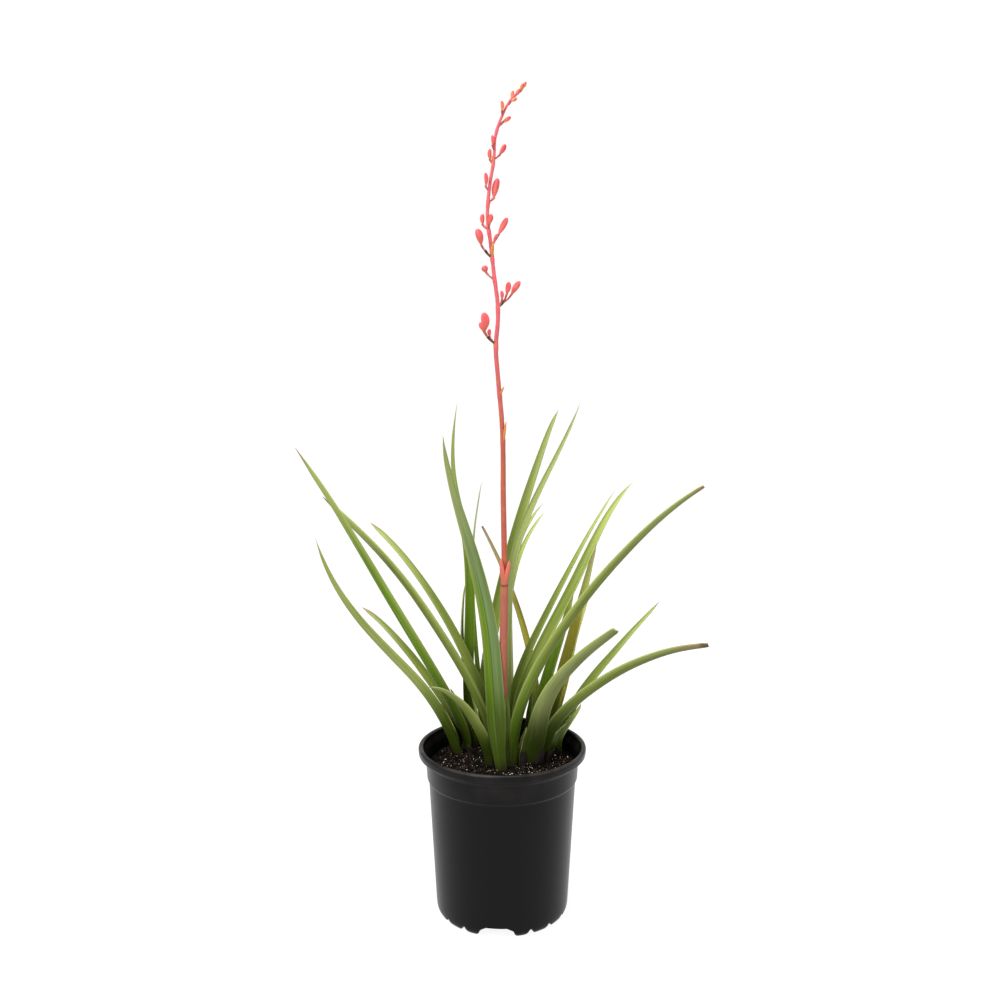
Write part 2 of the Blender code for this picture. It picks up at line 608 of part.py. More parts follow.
def aimed(base, tip):
    """Matrix that puts +Z along the way from base to tip, with its origin halfway."""
    way = Vector(tip) - Vector(base)
    middle = (Vector(tip) + Vector(base)) / 2
    return Matrix.Translation(middle) @ way.to_track_quat("Z", "Y").to_matrix().to_4x4()


def bud(base, tip, radius, collection):
    length = (Vector(tip) - Vector(base)).length
    bm = bmesh.new()
    bmesh.ops.create_uvsphere(bm, u_segments=BUD_SIDES, v_segments=BUD_RINGS, radius=1.0,
                              matrix=aimed(base, tip) @ Matrix.Diagonal((radius, radius, length / 2, 1.0)))
    new_object("bud", mesh_from(bm, "bud"), collection)


def stem(base, tip, radius, collection):
    """A short round stem, sunk a little into what carries it and into what it carries."""
    sink = (Vector(tip) - Vector(base)).normalized() * radius
    start = Vector(base) - sink * 0.5
    end = Vector(tip) + sink
    bm = bmesh.new()
    bmesh.ops.create_cone(bm, cap_ends=True, segments=STEM_SIDES, radius1=radius, radius2=radius * 0.8,
                          depth=(end - start).length, matrix=aimed(start, end))
    new_object("stem", mesh_from(bm, "stem"), collection)


def bract(base, tip, width, collection):
    bm = bmesh.new()
    flat = Matrix.Diagonal((1.0, BRACT_FLATNESS, 1.0, 1.0))
    bmesh.ops.create_cone(bm, cap_ends=True, segments=BRACT_SIDES, radius1=width / 2, radius2=width * 0.12,
                          depth=(Vector(tip) - Vector(base)).length, matrix=aimed(base, tip) @ flat)
    new_object("bract", mesh_from(bm, "bract"), collection)


def make_flower_spike(parts):
    """The stalk with its branches, buds and bracts joined into it, because it grew as one piece."""
    growths = new_collection("spike_growths")
    for base, tip in BRANCHES:
        stem(base, tip, STEM_RADIUS * 1.2, growths)
    for start, base, tip, radius in BUDS:
        stem(start, base, STEM_RADIUS, growths)
        bud(base, tip, radius, growths)
    for base, tip, width in BRACTS:
        bract(base, tip, width, growths)
    spike = make_stalk(parts)
    join = spike.modifiers.new("join", "BOOLEAN")
    join.operation = "UNION"
    join.operand_type = "COLLECTION"
    join.collection = growths
    join.solver = "EXACT"
    bpy.context.view_layer.update()
    apply_modifiers(spike)
    for obj in list(growths.objects):
        bpy.data.objects.remove(obj, do_unlink=True)
    bpy.data.collections.remove(growths)
    finish(spike, STALK_COLOUR, 0.5)


def main():
    clear_scene()
    parts = new_collection("potted_red_yucca")
    pot_cutters = new_collection("pot_cutters")
    soil_cutters = new_collection("soil_cutters")
    make_pot(parts, pot_cutters)
    make_soil(parts, soil_cutters)
    for leaf in LEAVES:
        make_leaf(leaf, parts)
    make_flower_spike(parts)


main()
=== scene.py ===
"""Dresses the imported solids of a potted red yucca: leaves, flower stalk, buds, potting mix and pot.
Metres, +Z up, origin on the pot's axis at ground level, front towards -Y."""

import json
import math
import random
from collections import namedtuple

import bmesh
import bpy
from bpy.props import FloatProperty, FloatVectorProperty, IntProperty, PointerProperty
from mathutils import Matrix, Vector, noise


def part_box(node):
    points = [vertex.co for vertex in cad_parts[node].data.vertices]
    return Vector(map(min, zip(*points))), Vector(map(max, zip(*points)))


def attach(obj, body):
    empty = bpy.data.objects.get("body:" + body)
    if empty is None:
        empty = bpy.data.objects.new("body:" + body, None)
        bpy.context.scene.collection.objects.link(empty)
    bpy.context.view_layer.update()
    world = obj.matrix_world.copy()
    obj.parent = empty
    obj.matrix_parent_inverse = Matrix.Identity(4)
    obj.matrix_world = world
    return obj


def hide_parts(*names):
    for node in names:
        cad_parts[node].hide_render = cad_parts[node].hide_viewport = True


bl_info = {
    "name": "Potted red yucca",
    "version": (1, 0, 0),
    "blender": (4, 5, 0),
    "location": "View3D > Sidebar > Yucca",
    "description": "Leaves, flower stalk, potting mix and pot round the solids of a potted red yucca",
    "category": "Add Mesh",
}

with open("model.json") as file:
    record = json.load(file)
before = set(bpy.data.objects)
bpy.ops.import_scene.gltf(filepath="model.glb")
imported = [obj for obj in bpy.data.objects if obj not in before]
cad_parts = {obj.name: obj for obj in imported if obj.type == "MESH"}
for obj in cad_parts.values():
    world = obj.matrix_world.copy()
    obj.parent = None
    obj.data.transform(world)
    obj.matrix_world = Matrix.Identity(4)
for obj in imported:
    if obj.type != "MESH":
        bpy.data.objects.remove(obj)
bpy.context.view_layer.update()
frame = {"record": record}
BODY = "root"
NOISE_SEED = 5

# Pot, as its solid: outer sizes first
POT_LOW, POT_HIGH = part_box("pot")
POT_HEIGHT = POT_HIGH.z
RIM_RADIUS = (POT_HIGH.x - POT_LOW.x) / 2
RIM_SKIRT = 0.0078
LIP_WIDTH = 0.0052
COLLAR_BOTTOM = 0.137
COLLAR_RADIUS = 0.0752
BODY_RADIUS = 0.0724
FOOT_RADIUS = 0.0655
FOOT_TOP = 0.0080
WALL = 0.0013
FLOOR_UNDERSIDE = 0.0112
FLOOR_TOP = 0.0128
FOOT_FLAT_OUTER = 0.0612
FOOT_FLAT_INNER = 0.0570

# Foot ring: 18 places, of which every sixth is a wide drain gap and the rest are lugs
FOOT_PLACES = 18
GAP_EVERY = 6
GAP_BEARING = -94.9
GAP_HEIGHT = 0.0105
GAP_TOP_WIDTH = 0.0190
GAP_BOTTOM_WIDTH = 0.0315
NOTCH_HEIGHT = 0.0065
NOTCH_WIDTH = 0.0028
LUG_ROUND = 0.0075
LUG_RISE = 0.0070

# Potting mix
SOIL_LEVEL = 0.150
SOIL_RADIUS = 0.0728
SOIL_RELIEF = 0.0011
SOIL_FLOOR = 0.0131

# Leaves
ROUTE_START = 0.1525
SUNK = 0.010
FLARE_SHARE = 0.16
MARGIN_THICKNESS = 0.0009
RIB_THICKNESS = 0.0022
RIB_TIP_THICKNESS = 0.0012
CHANNEL_AT_FOOT = 0.26
CHANNEL_AT_TIP = 0.12
WOBBLE = 0.0005
POINT_SHARE = 0.06

# Each leaf: its foot on the soil; the points at even steps that its rib passes, its tip last; its width
# at the foot and at its widest; how far it is turned about its rib at foot and tip in degrees; its tip's
# share of the width; the power of its taper; its colours at foot, middle and tip; how much of it is dry,
# if any; whether its tip is blunt
Leaf = namedtuple("Leaf", "name foot route widths turn tip taper colours dry blunt", defaults=(0.0, False))

LEAVES = (
    Leaf("leaf_left_1", (-0.037, 0.036),
         ((-0.062, 0.028, 0.221), (-0.112, 0.014, 0.315), (-0.146, -0.002, 0.382), (-0.193, -0.020, 0.465)),
         (0.010, 0.0141), (30, 40), 0.29, 2.1, ("moss", "vivid", "lime"), 0.006),
    Leaf("leaf_left_2", (-0.045, 0.024),
         ((-0.086, -0.002, 0.237), (-0.131, -0.042, 0.303), (-0.164, -0.090, 0.392)),
         (0.010, 0.0129), (20, 35), 0.08, 2.3, ("vivid", "lime", "lime")),
    Leaf("leaf_left_3", (-0.031, 0.051),
         ((-0.065, 0.060, 0.200), (-0.104, 0.072, 0.250), (-0.147, 0.087, 0.286)),
         (0.007, 0.0111), (-25, -35), 0.28, 2.1, ("moss", "olive", "khaki"), 0.02),
    Leaf("leaf_left_4", (-0.013, -0.005),
         ((-0.019, -0.012, 0.180), (-0.030, -0.022, 0.205), (-0.046, -0.032, 0.228), (-0.070, -0.042, 0.241)),
         (0.011, 0.0175), (10, 20), 0.25, 2.4, ("moss", "olive", "sage")),
    Leaf("leaf_left_5", (-0.024, 0.052),
         ((-0.035, 0.058, 0.239), (-0.034, 0.062, 0.335), (-0.045, 0.065, 0.404), (-0.045, 0.070, 0.502)),
         (0.009, 0.0135), (-10, -30), 0.10, 1.8, ("deep", "vivid", "sage")),
    Leaf("leaf_left_6", (-0.020, 0.062),
         ((-0.027, 0.074, 0.242), (-0.031, 0.089, 0.327), (-0.021, 0.106, 0.418)),
         (0.007, 0.0105), (0, 0), 0.12, 0.4, ("moss", "vivid", "ash")),
    Leaf("leaf_left_7", (-0.011, 0.056),
         ((-0.012, 0.061, 0.251), (0.022, 0.065, 0.397), (0.057, 0.070, 0.494)),
         (0.009, 0.0160), (40, 40), 0.08, 2.4, ("moss", "olive", "sage")),
    Leaf("leaf_left_8", (-0.033, 0.061),
         ((-0.037, 0.063, 0.207), (-0.041, 0.065, 0.262), (-0.037, 0.068, 0.317)),
         (0.005, 0.0080), (30, 40), 0.15, 2.0, ("deep", "moss", "olive")),
    Leaf("leaf_middle_1", (-0.001, -0.020),
         ((-0.008, -0.011, 0.234), (-0.018, -0.003, 0.315), (-0.039, 0.005, 0.393), (-0.057, 0.014, 0.473)),
         (0.011, 0.0190), (-48, -25), 0.12, 2.2, ("moss", "glaucous", "khaki")),
    Leaf("leaf_middle_2", (-0.012, 0.014),
         ((-0.032, 0.020, 0.224), (-0.077, 0.027, 0.298), (-0.119, 0.033, 0.352), (-0.178, 0.040, 0.410)),
         (0.009, 0.0131), (48, 55), 0.56, 3.0, ("moss", "olive", "sage"), 0.008),
    Leaf("leaf_middle_3", (-0.008, 0.029),
         ((-0.032, 0.042, 0.234), (-0.079, 0.071, 0.313), (-0.138, 0.100, 0.374)),
         (0.009, 0.0132), (-15, -35), 0.32, 1.2, ("moss", "olive", "sage"), 0.010),
    Leaf("leaf_middle_4", (0.011, -0.006),
         ((0.026, -0.014, 0.232), (0.068, -0.024, 0.308), (0.123, -0.035, 0.378), (0.183, -0.048, 0.432)),
         (0.011, 0.0141), (-40, -40), 0.31, 3.0, ("vivid", "olive", "khaki"), 0.006, True),
    Leaf("leaf_middle_5", (0.016, 0.008),
         ((0.023, 0.015, 0.229), (0.056, 0.024, 0.295), (0.090, 0.034, 0.364), (0.130, 0.045, 0.424)),
         (0.009, 0.0141), (0, 50), 0.08, 2.9, ("moss", "olive", "lime")),
    Leaf("leaf_middle_6", (0.014, 0.022),
         ((0.015, 0.035, 0.222), (0.045, 0.050, 0.289), (0.079, 0.069, 0.350), (0.117, 0.090, 0.410)),
         (0.008, 0.0114), (10, 30), 0.08, 1.3, ("vivid", "olive", "lime")),
    Leaf("leaf_middle_7", (0.001, 0.018),
         ((0.005, 0.027, 0.248), (0.010, 0.039, 0.336), (0.037, 0.050, 0.415), (0.078, 0.060, 0.502)),
         (0.008, 0.0130), (0, 40), 0.10, 1.8, ("moss", "khaki", "sage")),
    Leaf("leaf_middle_8", (-0.001, 0.033),
         ((0.007, 0.050, 0.237), (0.009, 0.069, 0.322), (0.043, 0.092, 0.396)),
         (0.007, 0.0115), (0, 20), 0.12, 1.8, ("khaki", "khaki", "lime")),
    Leaf("leaf_middle_9", (0.001, 0.045),
         ((0.003, 0.062, 0.234), (0.010, 0.083, 0.314), (0.045, 0.105, 0.385)),
         (0.007, 0.0115), (0, 20), 0.12, 1.8, ("moss", "vivid", "lime")),
    Leaf("leaf_right_1", (0.027, -0.001),
         ((0.036, -0.021, 0.202), (0.048, -0.048, 0.243), (0.073, -0.077, 0.282), (0.099, -0.108, 0.314)),
         (0.019, 0.0231), (-30, -42), 0.30, 0.8, ("shade", "khaki", "khaki"), 0.0, True),
    Leaf("leaf_right_2", (0.044, 0.014),
         ((0.058, -0.003, 0.199), (0.094, -0.021, 0.238), (0.135, -0.041, 0.268), (0.189, -0.062, 0.287)),
         (0.011, 0.0141), (-38, -45), 0.49, 2.8, ("shade", "olive", "khaki"), 0.03, True),
    Leaf("leaf_right_3", (0.051, 0.035),
         ((0.081, 0.042, 0.207), (0.118, 0.050, 0.253), (0.161, 0.060, 0.299)),
         (0.009, 0.0122), (20, 40), 0.15, 1.7, ("moss", "olive", "sage"), 0.012),
    Leaf("leaf_right_4", (0.042, 0.038),
         ((0.061, 0.050, 0.223), (0.079, 0.058, 0.292), (0.097, 0.066, 0.362)),
         (0.009, 0.0140), (15, 40), 0.12, 2.4, ("moss", "gold", "khaki"), 0.03),
    Leaf("leaf_right_5", (0.0405, 0.048),
         ((0.060, 0.064, 0.198), (0.073, 0.079, 0.245), (0.091, 0.097, 0.290)),
         (0.007, 0.0125), (10, 30), 0.15, 2.4, ("olive", "gold", "straw")),
    Leaf("leaf_right_6", (0.033, 0.027),
         ((0.041, 0.034, 0.209), (0.058, 0.043, 0.264), (0.073, 0.052, 0.318)),
         (0.009, 0.0135), (20, 40), 0.12, 2.4, ("moss", "vivid", "olive"), 0.02),
    Leaf("leaf_right_7", (0.030, 0.043),
         ((0.034, 0.059, 0.209), (0.023, 0.078, 0.264), (0.004, 0.096, 0.317), (-0.021, 0.108, 0.369)),
         (0.006, 0.0095), (0, 0), 0.24, 2.0, ("moss", "gold", "dry"), 0.012, True),
    Leaf("leaf_right_8", (0.058, 0.021),
         ((0.060, 0.025, 0.170), (0.070, 0.028, 0.185), (0.080, 0.032, 0.200)),
         (0.005, 0.0080), (10, 30), 0.15, 2.4, ("deep", "shade", "sage")),
    Leaf("leaf_right_9", (0.047, 0.025),
         ((0.051, 0.018, 0.165), (0.057, 0.012, 0.177), (0.064, 0.006, 0.188)),
         (0.005, 0.0075), (-30, -40), 0.15, 2.4, ("moss", "glaucous", "glaucous")),
)
SLOT_OF_LEAF = {part["node"]: part["material_slot"] for part in frame["record"]["subparts"]}

# Flower stalk: points along it with its radius there
STALK = (
    ((0.003, -0.004, 0.143), 0.0041),
    ((0.003, -0.004, 0.160), 0.0041),
    ((0.001, -0.003, 0.240), 0.0040),
    ((0.002, -0.002, 0.322), 0.0039),
    ((0.002, -0.001, 0.350), 0.0028),
    ((0.001, 0.000, 0.412), 0.0026),
    ((0.000, 0.000, 0.480), 0.0023),
    ((-0.004, 0.000, 0.528), 0.0021),
    ((-0.006, 0.000, 0.556), 0.0021),
    ((-0.004, 0.000, 0.589), 0.0019),
    ((-0.008, 0.000, 0.626), 0.0018),
    ((-0.011, 0.000, 0.653), 0.0018),
    ((-0.0137, 0.000, 0.675), 0.0016),
    ((-0.012, 0.000, 0.701), 0.0016),
    ((-0.008, 0.000, 0.726), 0.0014),
    ((-0.006, 0.000, 0.749), 0.0013),
    ((0.000, 0.000, 0.766), 0.0012),
    ((0.008, 0.000, 0.780), 0.0010),
    ((0.0175, 0.000, 0.789), 0.0008),
)
NODE_HEIGHT = 0.330

# Flower buds: where the bud's own stem leaves the stalk or its branch, the bud's base and tip, its radius
BUDS = (
    ((-0.013, -0.003, 0.566), (-0.0165, -0.004, 0.572), (-0.0170, -0.005, 0.589), 0.0041),
    ((-0.010, -0.001, 0.564), (-0.0118, 0.001, 0.567), (-0.0122, 0.003, 0.574), 0.0019),
    ((-0.013, -0.003, 0.566), (-0.0175, 0.000, 0.572), (-0.0212, 0.002, 0.580), 0.0022),
    ((0.001, 0.002, 0.599), (0.0085, 0.005, 0.606), (0.0165, 0.007, 0.618), 0.0029),
    ((0.001, 0.002, 0.599), (0.0040, 0.000, 0.606), (0.0062, -0.002, 0.617), 0.0027),
    ((-0.002, 0.001, 0.596), (-0.0004, -0.001, 0.601), (-0.0006, -0.002, 0.609), 0.0018),
    ((-0.009, 0.000, 0.621), (-0.0150, 0.003, 0.626), (-0.0174, 0.004, 0.632), 0.0031),
    ((-0.0154, -0.003, 0.645), (-0.0194, -0.005, 0.6505), (-0.0232, -0.007, 0.6645), 0.0035),
    ((-0.0112, 0.000, 0.649), (-0.0080, 0.003, 0.653), (-0.0046, 0.004, 0.661), 0.0018),
    ((-0.0112, 0.000, 0.651), (-0.0036, -0.001, 0.660), (0.0046, -0.002, 0.675), 0.0028),
    ((-0.0135, 0.000, 0.665), (-0.0180, 0.002, 0.669), (-0.0182, 0.004, 0.679), 0.0022),
    ((-0.0135, 0.000, 0.665), (-0.0120, -0.004, 0.669), (-0.0102, -0.005, 0.678), 0.0023),
    ((-0.0125, 0.000, 0.690), (-0.0080, 0.002, 0.693), (-0.0042, 0.004, 0.711), 0.0033),
    ((-0.0120, 0.000, 0.699), (-0.0152, -0.002, 0.703), (-0.0154, -0.003, 0.715), 0.0020),
    ((-0.0075, 0.000, 0.728), (-0.0026, -0.002, 0.731), (0.0028, -0.003, 0.740), 0.0024),
    ((-0.0085, 0.000, 0.723), (-0.0112, 0.002, 0.727), (-0.0112, 0.003, 0.737), 0.0019),
    ((-0.0070, 0.000, 0.735), (-0.0090, -0.002, 0.739), (-0.0092, -0.003, 0.748), 0.0017),
    ((-0.0030, 0.000, 0.757), (0.0000, 0.002, 0.760), (0.0078, 0.003, 0.765), 0.0019),
    ((0.0000, 0.000, 0.766), (-0.0004, -0.002, 0.769), (-0.0004, -0.003, 0.778), 0.0017),
    ((0.0060, 0.000, 0.776), (0.0076, -0.002, 0.778), (0.0132, -0.003, 0.780), 0.0017),
    ((0.0070, 0.000, 0.779), (0.0084, 0.002, 0.781), (0.0100, 0.003, 0.788), 0.0016),
    ((0.0105, 0.000, 0.782), (0.0122, 0.001, 0.784), (0.0158, 0.002, 0.789), 0.0019),
    ((0.0140, 0.000, 0.785), (0.0157, -0.001, 0.787), (0.0188, -0.002, 0.793), 0.0018),
    ((0.0165, 0.000, 0.787), (0.0178, 0.000, 0.789), (0.0215, 0.000, 0.795), 0.0016),
)
STEM_RADIUS = 0.0009
BUD_WIDEST = 0.58

# Branches that carry the lower buds: from the stalk outwards
BRANCHES = (
    ((-0.006, 0.000, 0.561), (-0.013, -0.003, 0.566)),
    ((-0.005, 0.000, 0.594), (0.001, 0.002, 0.599)),
    ((-0.010, 0.000, 0.640), (-0.0154, -0.003, 0.645)),
)

# Bracts, the small scale leaves under each group of buds and along the stalk: base, tip, width at base
BRACTS = (
    ((0.0030, -0.0040, 0.331), (0.0066, -0.0056, 0.355), 0.0050),
    ((0.0010, -0.0044, 0.331), (-0.0012, -0.0056, 0.357), 0.0048),
    ((0.0012, -0.0015, 0.468), (0.0030, -0.0028, 0.488), 0.0026),
    ((-0.0022, -0.0012, 0.512), (0.0010, -0.0024, 0.521), 0.0024),
    ((-0.0062, 0.0000, 0.557), (-0.0104, -0.0010, 0.566), 0.0024),
    ((-0.0045, 0.0000, 0.591), (-0.0014, 0.0010, 0.600), 0.0024),
    ((-0.0080, 0.0000, 0.618), (-0.0115, 0.0010, 0.624), 0.0020),
    ((-0.0098, -0.0008, 0.638), (-0.0088, -0.0030, 0.654), 0.0030),
    ((-0.0128, 0.0000, 0.662), (-0.0150, 0.0010, 0.669), 0.0018),
    ((-0.0122, 0.0000, 0.687), (-0.0102, 0.0014, 0.694), 0.0020),
    ((-0.0086, 0.0000, 0.722), (-0.0094, -0.0012, 0.731), 0.0018),
    ((-0.0046, 0.0000, 0.752), (-0.0020, 0.0012, 0.760), 0.0016),
)

# Camera: level with the upper leaves, in front of the pot and looking a little down on it
CAMERA_PLACE = (-0.0022, -1.050, 0.566)
CAMERA_PITCH = 8.32
CAMERA_LENS = 40.0
CAMERA_SENSOR = 36.0

# Backdrop: a flat round floor whose edge bends up into a wall
FLOOR_EDGE = 3.0
FLOOR_BEND = 2.0
BACKDROP_HEIGHT = 5.0


# Settings
def colour(name, default):
    return FloatVectorProperty(name=name, description="Colour of the " + name.lower(), subtype="COLOR",
                               size=3, min=0.0, max=1.0, default=default)


class YuccaColours(bpy.types.PropertyGroup):
    """Colours of the plant, the pot and the potting mix"""
    deep: colour("Deepest green", (0.030, 0.048, 0.0012))
    moss: colour("Dark olive green", (0.084, 0.133, 0.0080))
    vivid: colour("Bright green", (0.127, 0.238, 0.0091))
    olive: colour("Olive green", (0.168, 0.216, 0.037))
    khaki: colour("Greyed olive", (0.254, 0.287, 0.102))
    sage: colour("Pale green", (0.305, 0.361, 0.107))
    glaucous: colour("Waxy blue-green", (0.156, 0.231, 0.093))
    shade: colour("Dark blue-green", (0.068, 0.098, 0.027))
    lime: colour("Yellow-green", (0.392, 0.462, 0.122))
    straw: colour("Pale straw", (0.503, 0.479, 0.150))
    gold: colour("Yellow-lit green", (0.413, 0.352, 0.040))
    ash: colour("Grey-green", (0.371, 0.423, 0.216))
    dry: colour("Dry tip", (0.305, 0.195, 0.107))
    margin: colour("Leaf margin", (0.434, 0.434, 0.195))
    thread: colour("Margin threads", (0.716, 0.672, 0.552))
    sheath: colour("Dry sheaths", (0.027, 0.015, 0.014))
    stalk_low: colour("Lower stalk", (0.434, 0.133, 0.084))
    stalk_middle: colour("Middle stalk", (0.491, 0.110, 0.066))
    stalk_high: colour("Upper stalk", (0.761, 0.127, 0.156))
    bud_base: colour("Bud base", (0.823, 0.162, 0.127))
    bud_tip: colour("Bud tip", (0.730, 0.072, 0.089))
    bud_gold: colour("Young bud", (0.776, 0.314, 0.054))
    bract: colour("Bracts", (0.617, 0.202, 0.072))
    soil: colour("Potting mix", (0.0030, 0.0024, 0.0018))
    bark: colour("Bark", (0.027, 0.014, 0.0075))
    chip: colour("Pale chips", (0.342, 0.231, 0.138))
    perlite: colour("Perlite", (0.839, 0.807, 0.745))
    plastic: colour("Pot plastic", (0.0027, 0.0024, 0.0024))
    # Dust on the pot, also used for the painted highlight on its rim
    dust_and_sheen: colour("Dust on the pot", (0.054, 0.045, 0.041))
    floor: colour("Floor", (0.973, 0.973, 0.973))


def distance_setting(name, description, default, low, high):
    return FloatProperty(name=name, description=description, default=default, min=low, max=high,
                         unit="LENGTH")


def count_setting(name, description, default, low, high):
    return IntProperty(name=name, description=description, default=default, min=low, max=high)


class YuccaSizes(bpy.types.PropertyGroup):
    """Fineness of the meshes and numbers of small things"""
    leaf_step: distance_setting("Leaf step", "Length of a face along a leaf", 0.0045, 0.001, 0.02)
    leaf_across: count_setting("Leaf faces across", "Faces across a leaf", 14, 4, 40)
    vein_depth: distance_setting("Vein depth", "Depth of the fine lines along a leaf", 0.00013, 0.0, 0.001)
    threads: count_setting("Threads on a leaf", "Curly threads on the margins of each leaf", 1, 0, 20)
    pot_steps: count_setting("Pot steps", "Steps round the pot", 450, 48, 720)
    soil_rings: count_setting("Soil rings", "Rings of faces on the potting mix", 70, 8, 120)
    soil_steps: count_setting("Soil steps", "Steps round the potting mix", 220, 24, 400)
    crumbs: count_setting("Bark crumbs", "Dark crumbs on the potting mix", 1300, 0, 3000)
    chips: count_setting("Pale chips", "Pale chips on the potting mix", 650, 0, 1000)
    perlite: count_setting("Perlite grains", "White grains on the potting mix", 360, 0, 1000)
    bud_sides: count_setting("Bud sides", "Faces round a bud", 18, 6, 48)


# Materials
class Value:
    """A node's output that takes part in sums: an expression on it adds its Math nodes."""

    def __init__(self, paint, socket):
        self.paint = paint
        self.socket = socket

    def math(self, operation, *others):
        numbers = dict(enumerate((self, *others)))
        return self.paint.node("ShaderNodeMath", {"operation": operation}, numbers)

    def __add__(self, other):
        return self.math("ADD", other)

    __radd__ = __add__

    def __sub__(self, other):
        return self.math("SUBTRACT", other)

    def __mul__(self, other):
        return self.math("MULTIPLY", other)

    __rmul__ = __mul__

    def __abs__(self):
        return self.math("ABSOLUTE")


class Paint:
    """A material under construction: its nodes are added round one Principled shader."""

    def __init__(self, name):
        self.material = bpy.data.materials.new(name)
        self.material.use_nodes = True
        self.tree = self.material.node_tree
        self.shader = self.tree.nodes["Principled BSDF"]
        self.base = None

    def feed(self, socket, value):
        if isinstance(value, Value):
            self.tree.links.new(value.socket, socket)
        else:
            socket.default_value = value

    def node(self, kind, settings=None, sockets=None, output=0):
        """Adds a node, sets it up, feeds its sockets and gives one of its outputs."""
        node = self.tree.nodes.new(kind)
        for key, value in (settings or {}).items():
            setattr(node, key, value)
        for key, value in (sockets or {}).items():
            self.feed(node.inputs[key], value)
        return Value(self, node.outputs[output])

    def attribute(self, name):
        return self.node("ShaderNodeAttribute", {"attribute_name": name}, output="Fac")

    def place(self):
        return self.node("ShaderNodeTexCoord", output="Object")

    def part_of(self, vector, axis):
        return self.node("ShaderNodeSeparateXYZ", sockets={0: vector}, output=axis)

    def vector(self, x, y, z):
        return self.node("ShaderNodeCombineXYZ", sockets={0: x, 1: y, 2: z})

    def noise(self, vector, scale, detail=2.0, roughness=0.5):
        sockets = {"Vector": vector, "Scale": scale, "Detail": detail, "Roughness": roughness}
        return self.node("ShaderNodeTexNoise", sockets=sockets, output="Fac")

    def ease(self, value, low, high):
        """0 below low and 1 above high, with a smooth rise between; low above high turns it round."""
        sockets = {"Value": value, "From Min": low, "From Max": high}
        return self.node("ShaderNodeMapRange", {"interpolation_type": "SMOOTHSTEP"}, sockets)

    def mix(self, factor, first, second, blend="MIX"):
        settings = {"data_type": "RGBA", "blend_type": blend}
        return self.node("ShaderNodeMix", settings, {0: factor, 6: first, 7: second}, output=2)

    def bump(self, height, distance, strength=1.0):
        sockets = {"Height": height, "Distance": distance, "Strength": strength}
        return self.node("ShaderNodeBump", sockets=sockets)

    def over(self, share, tone, blend="MIX"):
        """Lays a tone over the base colour, as much of it as the share says."""
        self.base = self.mix(share, self.base, tone, blend)

    def coat(self, value, low, high, share, tone, blend="MIX"):
        """Lays a tone over the base colour where the value passes from low to high."""
        self.over(self.ease(value, low, high) * share, tone, blend)

    def finish(self, roughness, normal=None, **fixed):
        """Feeds the shader. The fixed values are the same all over the surface."""
        self.feed(self.shader.inputs["Base Color"], self.base)
        self.feed(self.shader.inputs["Roughness"], roughness)
        if normal is not None:
            self.feed(self.shader.inputs["Normal"], normal)
        for key, value in fixed.items():
            self.shader.inputs[key.replace("_", " ").title().replace("Ior", "IOR")].default_value = value
        return self.material


def tint(name, brightness=1.0):
    """A named colour of the settings as four numbers, lighter or darker if asked."""
    shade = getattr(bpy.context.scene.yucca_colours, name)
    return (*[min(1.0, part * brightness) for part in shade], 1.0)


